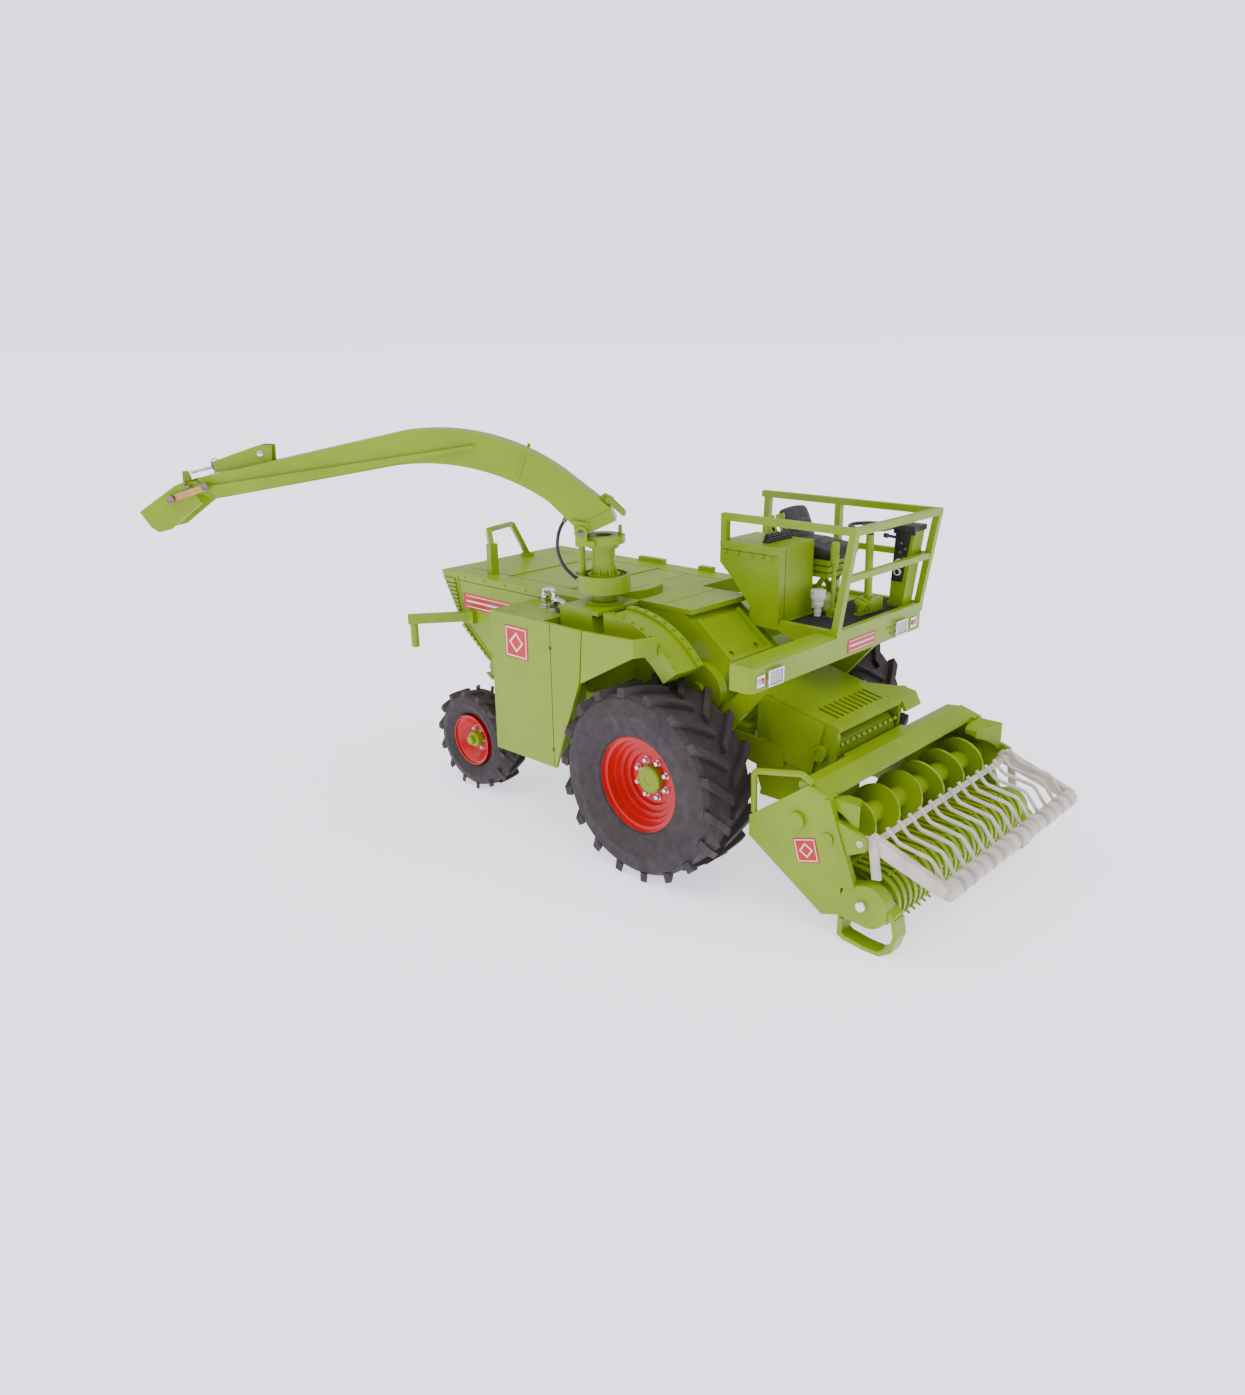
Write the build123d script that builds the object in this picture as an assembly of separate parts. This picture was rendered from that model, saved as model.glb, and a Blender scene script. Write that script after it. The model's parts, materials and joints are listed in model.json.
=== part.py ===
from build123d import *
import math
import os

# Scale model of a self-propelled forage harvester, 1:32. Millimetres, +X forward, +Y left, +Z up.
# Everything is drawn from a datum on the ground below the front axle, then centred when written.

# ---- driving sizes -------------------------------------------------------------------------
running_fit = 0.05          # radial clearance of every shaft in its bore
seat_gap = 0.15             # clearance between parts that move past each other

front_track = 72.8          # between the middle planes of the front tyres
front_tyre_r = 25.0
front_tyre_w = 18.2
front_rim_r = 12.0
front_shaft_r = 2.0
lug_count = 18              # lugs on each side of a front tyre
lug_height = 1.5

wheelbase = 75.5
rear_track = 61.8
rear_tyre_r = 15.3
rear_tyre_w = 9.4
rear_rim_r = 7.4
rear_shaft_r = 1.3
kingpin_y = 21.5
kingpin_r = 0.9

hood_rear = -95.0
hood_front = -20.0
hood_right = -27.0
hood_left = 23.0
hood_top = 63.5
hood_floor = 38.5
sheet = 1.0                 # wall of the hood, tank and header sheets

rail_half_gap = 11.5        # inner faces of the two frame rails
rail_w = 3.0
rail_low = 30.0
rail_high = 35.0
rail_front = 12.0
post_in = 22.2              # inner face of the posts that hold the lamp bar

tank_outer = -44.0
tank_low = 21.9
tank_high = 61.1
tank_rear = -52.1
tank_box_front = -32.5

duct_cx = -15.0             # centre of the transfer duct's arc
duct_cz = 36.0
duct_r = 28.0
duct_depth = 4.4
duct_right = -37.8
duct_left = -27.4

tower_x = -25.0
tower_y = -28.0
spout_heading = 42.0        # degrees from straight back towards the right
spout_half_w = 4.0
spout_wall = 0.8
drum_r = 6.8
drum_low = 67.6
drum_high = 72.0
tower_tube_r = 3.0
ring_r = 5.6
ring_low = 80.0
ring_high = 81.9
hinge_back = 5.4            # spout hinge behind the tower axis
hinge_z = 83.4
hinge_pin_r = 0.6
flap_back = 102.8           # end flap's hinge behind the tower axis
flap_z = 95.9

deck_top = 59.8
deck_thick = 1.4
deck_right = -3.9
deck_left = 38.5
bar_front = 30.0
bar_half = 38.5
bar_low = 53.6
bar_high = 59.3
rail_top = 86.3
rail_tube = 1.8
tray_right = -21.4          # sloped inspection cover, between the housing side and the deck
tray_left = deck_right - 0.3
post_lean = 3.8             # how far the front posts lean forward at the top

lift_x = 2.0                # axis that the intake and header lift about
lift_z = 30.0
mouth_half = 13.6           # inner half width of the feed housing
upper_roller_x = 34.0
upper_roller_z = 34.0
upper_roller_r = 5.0
lower_roller_x = 32.6
lower_roller_z = 24.0
lower_roller_r = 3.6
roller_shaft_r = 1.0
header_half = 36.0          # outer face of the header side plates
plate_thick = 1.2
auger_x = 50.0
auger_z = 24.0
auger_r = 6.4
auger_tube_r = 2.6
pickup_x = 59.5
pickup_z = 11.0
band_r = 6.4
band_count = 27
tine_tip_r = 7.6
guard_x = 58.1
guard_z = 25.5
guard_half = 32.8
finger_count = 14
coil_x = 76.9
coil_z = 19.2

parts = {}


# ---- helpers -------------------------------------------------------------------------------
def block(x0, x1, y0, y1, z0, z1):
    """Rectangular solid from its six limits."""
    low = (Align.MIN, Align.MIN, Align.MIN)
    return Pos(x0, y0, z0) * Box(x1 - x0, y1 - y0, z1 - z0, align=low)


def slab(outline, y0, y1):
    """Solid from an outline of (x, z) corners, between two planes across the machine."""
    face = make_face(Polyline([(x, y0, z) for x, z in outline], close=True))
    return extrude(face, amount=y1 - y0, dir=(0, 1, 0))


def plan(outline, z0, z1):
    """Solid from an outline of (x, y) corners, between two heights."""
    face = make_face(Polyline([(x, y, z0) for x, y in outline], close=True))
    return extrude(face, amount=z1 - z0, dir=(0, 0, 1))


def rod(start, end, radius):
    """Round bar between two points."""
    a, b = Vector(*start), Vector(*end)
    upright = (Align.CENTER, Align.CENTER, Align.MIN)
    return Plane(origin=a, z_dir=b - a) * Cylinder(radius, (b - a).length, align=upright)


def bar(start, end, width):
    """Square bar between two points."""
    a, b = Vector(*start), Vector(*end)
    upright = (Align.CENTER, Align.CENTER, Align.MIN)
    across = Vector(0, 1, 0) if abs((b - a).normalized().Y) < 0.9 else Vector(1, 0, 0)
    frame = Plane(origin=a, x_dir=across, z_dir=b - a)
    return frame * Box(width, width, (b - a).length, align=upright)


def across(x, z, y0, y1, radius):
    """Round bar across the machine."""
    return rod((x, min(y0, y1), z), (x, max(y0, y1), z), radius)


def upright(x, y, z0, z1, radius):
    """Vertical round bar."""
    return rod((x, y, z0), (x, y, z1), radius)


def turned(outline, x, z):
    """Solid of revolution about an axis across the machine, from (y, radius) corners."""
    face = make_face(Polyline([(0, y, r) for y, r in outline], close=True))
    return Pos(x, 0, z) * revolve(face, Axis.Y)


def mirrored(shape):
    """The same piece on the left side."""
    return mirror(shape, about=Plane.XZ)


def group(*pieces):
    """Separate solids kept together in one node."""
    return Compound([solid for piece in pieces for solid in piece.solids()])


def add(name, shape):
    """Keep a finished piece under its node name."""
    parts[name] = shape


# ---- running gear --------------------------------------------------------------------------
def front_rim():
    """Deep dished wheel centre, right side, about the axle."""
    y = -front_track / 2
    r = front_rim_r
    bore = front_shaft_r + running_fit
    outline = [
        (y + 0.4, bore), (y - 1.2, bore), (y - 1.2, 6.6), (y - 2.0, 6.9), (y - 2.0, 8.2),
        (y - 3.0, 8.5), (y - 3.0, 9.6), (y - 4.2, 9.9), (y - 4.2, 10.8), (y - 6.0, 11.1),
        (y - 6.2, r + 0.5), (y - 6.9, r + 0.5), (y - 7.2, r), (y - 6.0, r),
        (y + 7.6, r), (y + 7.6, r - 0.9), (y - 1.6, r - 2.6), (y + 0.4, 6.0),
    ]
    outline[12] = (y - 7.0, r + 0.1)
    return turned(outline, 0, front_tyre_r)


def lug(x, z, y_mid, y_edge, radius, height, width, turn):
    """One slanted tread lug, from the middle of the tread to its shoulder."""
    lean = width * 1.6
    inner = radius - 1.2
    outline = [(-width / 2 + lean, y_mid), (width / 2 + lean, y_mid),
               (width / 2 - lean, y_edge), (-width / 2 - lean, y_edge)]
    solid = plan(outline, inner, radius + height)
    return Pos(x, 0, z) * Rot(0, turn, 0) * solid


def tyre(x, z, y, radius, width, bead_r, count, height, lug_w):
    """Lugged tyre, right side: carcass of revolution with two rows of lugs."""
    h = width / 2
    tread = radius - height
    step = (tread - bead_r)
    outline = [
        (y + h - 2.6, bead_r + 0.05), (y + h - 1.6, bead_r + 0.7), (y + h, bead_r + 0.55 * step),
        (y + h - 0.4, tread - 1.2), (y + h - 1.6, tread - 0.2), (y, tread),
        (y - h + 1.6, tread - 0.2), (y - h + 0.4, tread - 1.2), (y - h, bead_r + 0.55 * step),
        (y - h + 1.6, bead_r + 0.7), (y - h + 2.6, bead_r + 0.05),
    ]
    carcass = turned(outline, x, z)
    lugs = []
    for i in range(count):
        turn = 360 / count * i
        lugs.append(lug(x, z, y - 0.4, y - h + 0.3, tread, height, lug_w, turn))
        lugs.append(lug(x, z, y + 0.4, y + h - 0.3, tread, height, lug_w, turn + 180 / count))
    shell = turned([(y - h, bead_r + 1), (y + h, bead_r + 1), (y + h, radius), (y - h, radius)], x, z)
    return carcass.fuse(*[one & shell for one in lugs])


def front_wheel():
    """Right front wheel: tyre, rim, hub cap and wheel nuts."""
    y = -front_track / 2
    z = front_tyre_r
    face = y - 1.2
    cap = across(0, z, face, face - 1.6, 3.5) - across(0, z, face, face - 1.0, front_shaft_r + 0.3)
    nuts = []
    for i in range(8):
        turn = math.radians(45 * i + 22.5)
        nuts.append(across(4.9 * math.cos(turn), z + 4.9 * math.sin(turn), face, face - 0.8, 0.6))
    return {
        "front_tyre": tyre(0, z, y, front_tyre_r, front_tyre_w, front_rim_r, lug_count, lug_height, 2.2),
        "front_rim": group(front_rim(), *nuts),
        "front_hub_cap": cap,
    }


def rear_wheel():
    """Right rear wheel: tyre, and rim with its protruding hub."""
    x, y, z = -wheelbase, -rear_track / 2, rear_tyre_r
    r = rear_rim_r
    bore = rear_shaft_r + running_fit
    outline = [
        (y + 0.6, bore), (y - 1.0, bore), (y - 1.0, 4.2), (y - 2.2, 5.6), (y - 3.4, r - 0.7),
        (y - 3.6, r + 0.3), (y - 4.1, r + 0.3), (y - 4.1, r + 0.02), (y + 4.0, r),
        (y + 4.0, r - 0.7), (y + 0.6, 5.0),
    ]
    rim = turned(outline, x, z)
    hub = turned([(y - 1.0, 0.0), (y - 1.0, 2.3), (y - 3.2, 2.1), (y - 3.4, 1.2),
                  (y - 4.6, 1.1), (y - 4.6, 0.0)], x, z)
    nuts = []
    for i in range(6):
        turn = math.radians(60 * i)
        nuts.append(across(x + 3.1 * math.cos(turn), z + 3.1 * math.sin(turn), y - 1.0, y - 1.6, 0.4))
    return {
        "rear_tyre": tyre(x, z, y, rear_tyre_r, rear_tyre_w, r, 14, 0.9, 1.4),
        "rear_rim": group(rim, hub, *nuts),
    }


def rear_knuckle():
    """Right rear steering knuckle with its kingpin and wheel spindle."""
    x, y, z = -wheelbase, -kingpin_y, rear_tyre_r
    body = block(x - 1.6, x + 1.6, y - 1.5, y + 1.2, z - 2.4, z + 2.4)
    pin = upright(x, y, z - 3.9, z + 3.9, kingpin_r)
    spindle = across(x, z, -rear_track / 2 - 0.6, y - 1.4, rear_shaft_r)
    arm = block(x + 1.4, x + 6.0, y - 0.6, y + 0.6, z - 2.2, z - 1.0)
    return body + pin + spindle + arm


def rear_axle():
    """Rocking rear axle beam with forked ends and its pivot pin."""
    x, z = -wheelbase, rear_tyre_r
    inner = kingpin_y - 2.4
    beam = block(x - 2.0, x + 2.0, -inner, inner, z - 2.2, z + 2.2)
    hub = rod((x - 5.5, 0, z + 2.0), (x + 5.5, 0, z + 2.0), 3.0)
    body = beam + hub
    for side in (-1, 1):
        y = side * kingpin_y
        y0, y1 = sorted((side * (inner - 0.2), y + side * 1.6))
        body += block(x - 1.8, x + 1.8, *sorted((side * (inner - 1.4), side * inner)), z - 4.2, z + 4.2)
        for z0 in (z - 4.2, z + 2.55):
            ear = block(x - 1.8, x + 1.8, y0, y1, z0, z0 + 1.65)
            body += ear - upright(x, y, z0 - 1, z0 + 3, kingpin_r + running_fit)
    bore = rod((x - 6, 0, z + 2.0), (x + 6, 0, z + 2.0), 1.2 + running_fit)
    return body - bore


def chassis_frame():
    """Frame rails, cross members, front axle housing, rear pivot bracket and lift pins."""
    outer = rail_half_gap + rail_w
    solid = block(-88, -84, -outer, outer, rail_low, rail_high)
    for side in (-1, 1):
        y0, y1 = sorted((side * rail_half_gap, side * outer))
        solid += block(-88, rail_front, y0, y1, rail_low, rail_high)
        y2, y3 = sorted((side * (outer - 0.5), side * (outer + 1.9)))
        solid += across(lift_x, lift_z + 1.6, y2, y3, 1.0)
        y4, y5 = sorted((side * post_in, side * (post_in + 1.8)))
        post = slab([(-8, 31.0), (-8, 35.0), (3.5, 35.8), (22.5, bar_low), (27.5, bar_low), (8, 31.0)],
                    y4, y5)
        tie = block(-8, -3.5, *sorted((side * (outer - 0.5), side * (post_in + 0.2))), 31.0, 34.8)
        leg = block(-4.5, 4.5, y0, y1, front_tyre_r, rail_low + 0.5)
        solid += post + tie + leg
        y6, y7 = sorted((side * 20.0, side * (front_track / 2 + 0.9)))
        solid += across(0, front_tyre_r, y6, y7, front_shaft_r)
        y8, y9 = sorted((side * 16.6, side * 25.6))
        solid += across(0, front_tyre_r, y8, y9, 5.6)
    solid += block(-4.5, 4.5, -20, 20, front_tyre_r - 4, front_tyre_r + 3.4)
    solid += block(-60, -56, -outer, outer, rail_low, rail_high)
    x, z = -wheelbase, rear_tyre_r + 2.0
    for x0 in (x - 8.4, x + 5.9):
        solid += block(x0, x0 + 2.5, -5, 5, z - 3.0, rail_low + 0.5)
        solid += block(x0, x0 + 2.5, -outer, outer, rail_low, rail_high)
    solid += rod((x - 8, 0, z), (x + 8, 0, z), 1.2)
    floor_plate = block(-74, 8, -21, 20, rail_high, rail_high + 1.4)
    return solid + floor_plate


# ---- body ----------------------------------------------------------------------------------
def hood_outline(inset):
    """Side outline of the engine hood, drawn in by a wall thickness."""
    i = inset
    return [(hood_front - i, hood_top - i), (hood_rear + 1.1 * i, hood_top - i),
            (-87 + 1.2 * i, 49 + 0.3 * i), (-74.8 + 0.5 * i, hood_floor + i),
            (hood_front - i, hood_floor + i)]


def engine_hood():
    """Closed sheet hood with a seam round its rear corner and two low strips on top."""
    shell = slab(hood_outline(0), hood_right, hood_left)
    shell -= slab(hood_outline(sheet), hood_right + sheet, hood_left - sheet)
    seam = slab([(-87.2, 62.6), (-86.9, 62.6), (-84.4, 49.6), (-71.5, 39.0), (-71.9, 39.0),
                 (-84.8, 49.5)],
                hood_right - 1, hood_right + 0.3)
    shell -= seam
    for x in (-72, -46):
        shell += block(x, x + 1.0, -20, 16, hood_top, hood_top + 0.25)
    for x0, x1 in ((-58, -48), (-34, -29)):
        shell += block(x0, x1, hood_left - 2.0, hood_left, hood_top, hood_top + 1.4)
    return shell


def side_grilles():
    """Two slatted panels set on the rear edge of the right hood side."""
    upper = slab([(-93.6, 61.6), (-88.4, 61.6), (-86.0, 50.2), (-86.9, 50.2)],
                 hood_right - 0.5, hood_right)
    lower = slab([(-86.4, 47.9), (-84.9, 48.2), (-73.6, 39.2), (-75.0, 39.2)],
                 hood_right - 0.5, hood_right)
    for i in range(8):
        z = 52.0 + 1.15 * i
        upper -= block(-95, -85, hood_right - 0.7, hood_right - 0.2, z, z + 0.4)
    for i in range(6):
        z = 40.6 + 1.15 * i
        lower -= block(-90, -70, hood_right - 0.7, hood_right - 0.2, z, z + 0.4)
    return group(upper, lower)


def hood_lid():
    """Raised lid over the blower."""
    lid = plan([(-18.5, -21.8), (-1.2, -21.8), (-0.4, 1.2), (-18.5, 1.2)], hood_top, hood_top + 1.3)
    return lid - block(-11.2, -10.9, -23, 2, hood_top + 1.1, hood_top + 2)


def blower_housing():
    """Blower and chopper housing between the hood and the intake."""
    top = hood_top
    outline = [(hood_front, top), (-3.4, top), (10.6, 52.6), (10.2, 50.8), (7.0, 47.0),
               (7.0, rail_high + 1.4), (hood_front, rail_high + 1.4)]
    body = slab(outline, -21.6, 0.4)
    body += slab([(hood_front, top - 4), (-3.4, top - 4), (3.0, 52.6), (3.0, rail_high + 1.4),
                  (hood_front, rail_high + 1.4)], 0.4, 20)
    casing = across(3.6, 45.5, -24.4, -21.6, 7.0)
    boss = across(3.6, 45.5, -25.6, -24.4, 2.2)
    return body + casing + boss


def inspection_cover():
    """Sloped tray with raised side lips and two screw holes, lying on the blower housing."""
    slope = [(-3.4, hood_top), (10.6, 52.6)]
    run = Vector(slope[1][0] - slope[0][0], slope[1][1] - slope[0][1])
    step = run.normalized()
    out = Vector(-step.Y, step.X)
    a = Vector(*slope[0]) + step * 3.6
    b = Vector(*slope[1]) - step * 0.2

    def band(height):
        return [(a.X, a.Y), (b.X, b.Y), (b.X + out.X * height, b.Y + out.Y * height),
                (a.X + out.X * height, a.Y + out.Y * height)]

    tray = slab(band(0.6), tray_right, tray_left)
    for y0 in (tray_right, tray_left - 1.0):
        tray += slab(band(1.7), y0, y0 + 1.0)
    foot = [(b.X - step.X * 1.0, b.Y - step.Y * 1.0), (b.X, b.Y),
            (b.X + out.X * 1.5, b.Y + out.Y * 1.5),
            (b.X - step.X * 1.0 + out.X * 1.5, b.Y - step.Y * 1.0 + out.Y * 1.5)]
    tray += slab(foot, tray_right, tray_left)
    for y in (tray_right + 3.6, tray_left - 3.6):
        spot = b - step * 2.6
        tray -= rod((spot.X, y, spot.Y), (spot.X + out.X * 3, y, spot.Y + out.Y * 3), 0.7)
    return tray



def arc_point(radius, degrees):
    """Point (x, z) of the transfer duct's arc."""
    turn = math.radians(degrees)
    return duct_cx + radius * math.cos(turn), duct_cz + radius * math.sin(turn)


def arc_slab(outer, inner, start, end, y0, y1):
    """Curved slab between two radii of the transfer duct's arc."""
    mid = (start + end) / 2

    def point(radius, degrees):
        x, z = arc_point(radius, degrees)
        return x, y0, z

    edges = ThreePointArc(point(outer, start), point(outer, mid), point(outer, end))
    edges += Line(point(outer, end), point(inner, end))
    edges += ThreePointArc(point(inner, end), point(inner, mid), point(inner, start))
    edges += Line(point(inner, start), point(outer, start))
    return extrude(make_face(edges), amount=y1 - y0, dir=(0, 1, 0))


def transfer_duct():
    """Curved duct from the blower to the tower foot, with flange strips and bolts."""
    start, end = 38, 92
    body = arc_slab(duct_r, duct_r - duct_depth, start, end, duct_right + 1, duct_left - 1)
    for y0 in (duct_right, duct_left - 2.0):
        body += arc_slab(duct_r + 0.7, duct_r - duct_depth, start, end, y0, y0 + 2.0)
    bolts = []
    for y in (duct_right + 1, duct_left - 1):
        for i in range(8):
            degrees = start + 4 + 6.4 * i
            x, z = arc_point(duct_r + 0.7, degrees)
            x2, z2 = arc_point(duct_r + 1.15, degrees)
            bolts.append(rod((x, y, z), (x2, y, z2), 0.4))
    return group(body, *bolts)


def tower_base():
    """Foot of the discharge tower: side box, hood plate, neck, spigot and curved guide arm."""
    box = block(-31.8, -18.0, -37.6, hood_right - 0.02, 57.0, 64.4)
    box -= arc_slab(duct_r + 1.4, duct_r - 8, 60, 101, -45, -27.1)
    plate = plan([(-32, -37.6), (-18, -37.6), (-19, -20.6), (-31, -20.6)], hood_top, hood_top + 0.9)
    plate -= block(-18.6, -10, -22.0, -10, 60, 70)
    neck = upright(tower_x, tower_y, hood_top + 0.5, drum_low - seat_gap, 3.4)
    flange = upright(tower_x, tower_y, hood_top + 0.5, hood_top + 1.7, 5.0)
    spigot = upright(tower_x, tower_y, drum_low - 1, drum_high - 1.0, 2.0)
    ring = upright(tower_x - 11, tower_y + 15, hood_top, hood_top + 2.2, 13.5)
    ring -= upright(tower_x - 11, tower_y + 15, hood_top - 1, hood_top + 3, 10.4)
    arm = ring & block(tower_x - 4, tower_x + 4, tower_y + 3.5, tower_y + 26, 60, 70)
    return box + plate + neck + flange + spigot + arm


def side_tank():
    """Right side tank behind the wheel, with its door panel and seam."""
    y = tank_outer
    box = block(tank_rear, tank_box_front, y, -28.2, tank_low, tank_high)
    box -= block(tank_rear + sheet, tank_box_front - sheet, y + sheet, -28.2 - sheet,
                 tank_low + sheet, tank_high - sheet)
    skin = slab([(tank_box_front, tank_high), (-17.7, tank_high), (-18.9, 47.5), (-28.5, tank_low),
                 (tank_box_front, tank_low)], y, y + sheet)
    seam = block(-29.2, -28.9, y - 1, y + 0.35, tank_low - 1, tank_high + 1)
    notch = block(-29.6, -28.5, y - 1, y + 0.5, 54.2, 55.2) + block(-29.6, -28.5, y - 1, y + 0.5, 26.5,
                                                                    27.5)
    return box + skin - seam - notch


def front_shield():
    """Wedge of sheet that carries the tank side forward over the wheel."""
    y = tank_outer
    side = slab([(-17.4, tank_high), (-0.9, 61.8), (-0.9, 57.2), (-18.4, 47.5)], y, y + sheet)
    nose = plan([(-0.9, y), (-0.2, y), (2.0, duct_right - 0.3), (1.2, duct_right - 0.3),
                 (-0.9, y + sheet)], 57.4, 61.8)
    strap = block(-19.4, -16.0, y + sheet, y + 2 * sheet, 50.5, 53.0)
    return side + nose + strap


def filler_pipes():
    """Chrome elbow group and filler pipe on the tank."""
    z = tank_high
    pieces = [upright(-43.0, -32.5, z, z + 3.2, 0.9), upright(-38.6, -33.0, z, z + 3.6, 0.9)]
    loop = FilletPolyline((-43.0, -32.5, z + 3.2), (-43.0, -32.5, z + 5.0), (-38.6, -33.0, z + 5.4),
                          (-38.6, -33.0, z + 3.6), radius=1.1)
    pieces.append(sweep(Plane(origin=loop @ 0, z_dir=loop % 0) * Circle(0.7), path=loop))
    pipe = FilletPolyline((-37.7, -33.0, z + 2.6), (-35.0, -33.4, z + 2.8), (-32.2, -35.0, z + 1.4),
                          radius=2.5)
    pieces.append(sweep(Plane(origin=pipe @ 0, z_dir=pipe % 0) * Circle(0.7), path=pipe))
    solid = pieces[0]
    for piece in pieces[1:]:
        solid += piece
    return solid


def spout_rest():
    """Yoke at the rear of the hood that the spout lies in for transport."""
    z = hood_top
    top = 75.2
    solid = block(-78.6, -76.6, -22.6, -19.8, z, 72.5)
    solid += bar((-77.8, -21.2, 71.5), (-84.5, -16.5, top), 1.5)
    solid += bar((-84.5, -16.5, top), (-87.6, -4.6, top), 1.3)
    solid += bar((-87.6, -4.6, top), (-90.6, 4.0, z + 0.6), 1.5)
    solid += block(-92.2, -89.2, 2.6, 5.6, z, z + 1.0)
    return solid


def rear_side_arm():
    """Channel arm at the rear right corner with its hanging hitch pin."""
    arm = bar((-82.4, hood_right, 51.0), (-93.6, -41.5, 51.0), 2.6)
    arm -= block(-90, -70, hood_right - 0.6, 0, 40, 60)
    foot = block(-84.0, -79.6, hood_right - 1.4, hood_right, 49.2, 52.8)
    foot -= slab([(-100, 30), (-84.6, 49.2), (-84.6, 49.3), (-100, 60)], -30, -20)
    pin = upright(-92.6, -40.2, 42.6, 50.0, 1.2)
    return arm + foot + pin


# ---- lamp bar and platform -------------------------------------------------------------------
def lamp_bar():
    """Pressed cross bar that carries the lamps and the platform front."""
    section = [(bar_front, bar_low), (bar_front, bar_high - 0.9), (bar_front - 6, bar_high - 0.9),
               (bar_front - 6, bar_low)]
    solid = slab(section, -bar_half, bar_half)
    solid -= slab([(bar_front - 1, bar_low + 1), (bar_front - 1, bar_high - 1.9),
                   (bar_front - 7, bar_high - 1.9), (bar_front - 7, bar_low + 1)],
                  -bar_half + 1, bar_half - 1)
    cap = slab([(bar_front, bar_high - 0.9), (bar_front, bar_high), (bar_front - 1.4, bar_high + 0.5),
                (bar_front - 6, bar_high + 0.5), (bar_front - 6, bar_high - 0.9)],
               -bar_half, deck_right - 0.05)
    for side in (-1, 1):
        corner = Pos(bar_front, side * bar_half, 0) * Rot(0, 0, 45) * Box(1.6, 1.6, 200)
        solid -= corner
        cap -= corner
        web = block(bar_front - 6, bar_front - 1, *sorted((side * post_in, side * (post_in + 1))),
                    bar_low, bar_high - 1)
        solid += web
    return solid + cap


def headlamps():
    """Two framed headlamps on the front face of the bar."""
    x = bar_front
    lamps = []
    for y in (-30.1, 26.1):
        frame = block(x, x + 0.9, y - 2.9, y + 2.9, 54.2, 58.2)
        lamps.append(frame - block(x + 0.5, x + 2, y - 2.4, y + 2.4, 54.7, 57.7))
    return group(*lamps)


def indicator_lamps():
    """Front indicator lamps at both ends of the lamp bar."""
    x = bar_front
    lamps = [block(x, x + 0.8, y - 1.5, y + 1.3, 54.8, 57.4) for y in (-35.0, 33.6)]
    return group(*lamps)


def platform_deck():
    """Deck plate with the side walkway and a kerb along its front and right edges."""
    low = deck_top - deck_thick
    deck = plan([(3.6, deck_right), (bar_front, deck_right), (bar_front, deck_left), (-22.9, deck_left),
                 (-22.9, 24.0), (3.6, 24.0)], low, deck_top)
    kerb = block(13.0, bar_front, deck_right, deck_right + 1.6, deck_top, deck_top + 1.0)
    kerb += block(bar_front - 1.6, bar_front, deck_right, deck_left, deck_top, deck_top + 1.0)
    kerb += block(-22.9, bar_front, deck_left - 1.6, deck_left, deck_top, deck_top + 1.0)
    skirt = slab([(12.4, low), (23.9, low), (23.9, 54.5)], deck_right, deck_right + 1.0)
    stay = block(-18, -16, 22.9 + 1.1, 26.5, 56.0, low)
    leg = block(-19.95, -16, 17.0, 26.5, 55.0, 56.0)
    return deck + kerb + skirt


def floor_mat():
    """Ribbed black floor mat."""
    mat = block(13.2, bar_front - 1.8, deck_right + 1.8, deck_left - 1.8, deck_top, deck_top + 0.35)
    for i in range(14):
        y = deck_right + 3.0 + 2.7 * i
        mat -= block(12, bar_front, y, y + 0.35, deck_top + 0.2, deck_top + 1)
    mat -= block(12, 15.3, 13.5, 24.1, deck_top - 1, deck_top + 1)
    return mat


def platform_railing():
    """Welded square-tube railing round the platform."""
    right = deck_right + 0.9
    left = deck_left - 0.9
    base_x = bar_front - 0.95
    top_x = base_x + post_lean
    top = rail_top - rail_tube / 2
    foot = deck_top + 1.0
    mid = 73.7
    mid_x = base_x + post_lean * (mid - foot) / (top - foot)
    w = rail_tube
    solid = bar((top_x + w / 2, right, top), (-6.2, right, top), w)
    solid += bar((-5.3, right, top), (-5.3, right, 79.3), w)
    solid += bar((top_x + w / 2, left, top), (-22.9, left, top), w)
    solid += bar((top_x, right, top), (top_x, left, top), w)
    solid += bar((mid_x, right, mid), (mid_x, left, mid), w - 0.2)
    for y in (right, left):
        solid += bar((base_x, y, foot - 0.6), (top_x, y, top), w)
    solid += bar((-22.0, left, foot - 0.6), (-21.0, left, top), w)
    solid += bar((3.0, left, foot - 0.6), (3.0, left, top), w)
    solid += bar((-21.5, left, mid), (mid_x, left, mid), w - 0.2)
    return solid - block(-30, 40, -10, 45, deck_top - 2, foot)


def console_box():
    """Control console right of the seat, with a slanted underside."""
    outline = [(-6.3, 79.3), (12.0, 79.3), (12.0, deck_top), (3.6, deck_top), (3.6, 63.4),
               (-1.9, 69.6), (-6.3, 73.6)]
    box = slab(outline, deck_right, 12.0)
    box -= block(-10, 14, deck_right - 1, deck_right + 0.25, 77.0, 77.25)
    box -= block(11.75, 13, deck_right + 3.2, deck_right + 3.5, 60.5, 78.6)
    box += slab([(12.0, 79.3), (12.5, 79.3), (12.5, deck_top), (12.0, deck_top)], deck_right,
                deck_right + 1.2)
    for x in (4.0, 7.5, 10.0):
        box += across(x, 76.4, deck_right - 0.35, deck_right, 0.45)
    return box


def lever_bank():
    """Five control levers in black boots on top of the console."""
    pieces = []
    for i in range(5):
        y = 0.6 + 2.2 * i
        x = 5.4
        boot = upright(x, y, 79.3, 80.1, 0.95) + upright(x, y, 80.0, 80.7, 0.6)
        pieces.append(boot + rod((x, y, 80.5), (x - 1.6, y, 84.6), 0.35)
                      + rod((x - 1.5, y, 84.4), (x - 1.9, y, 85.5), 0.55))
    return group(*pieces)


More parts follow.
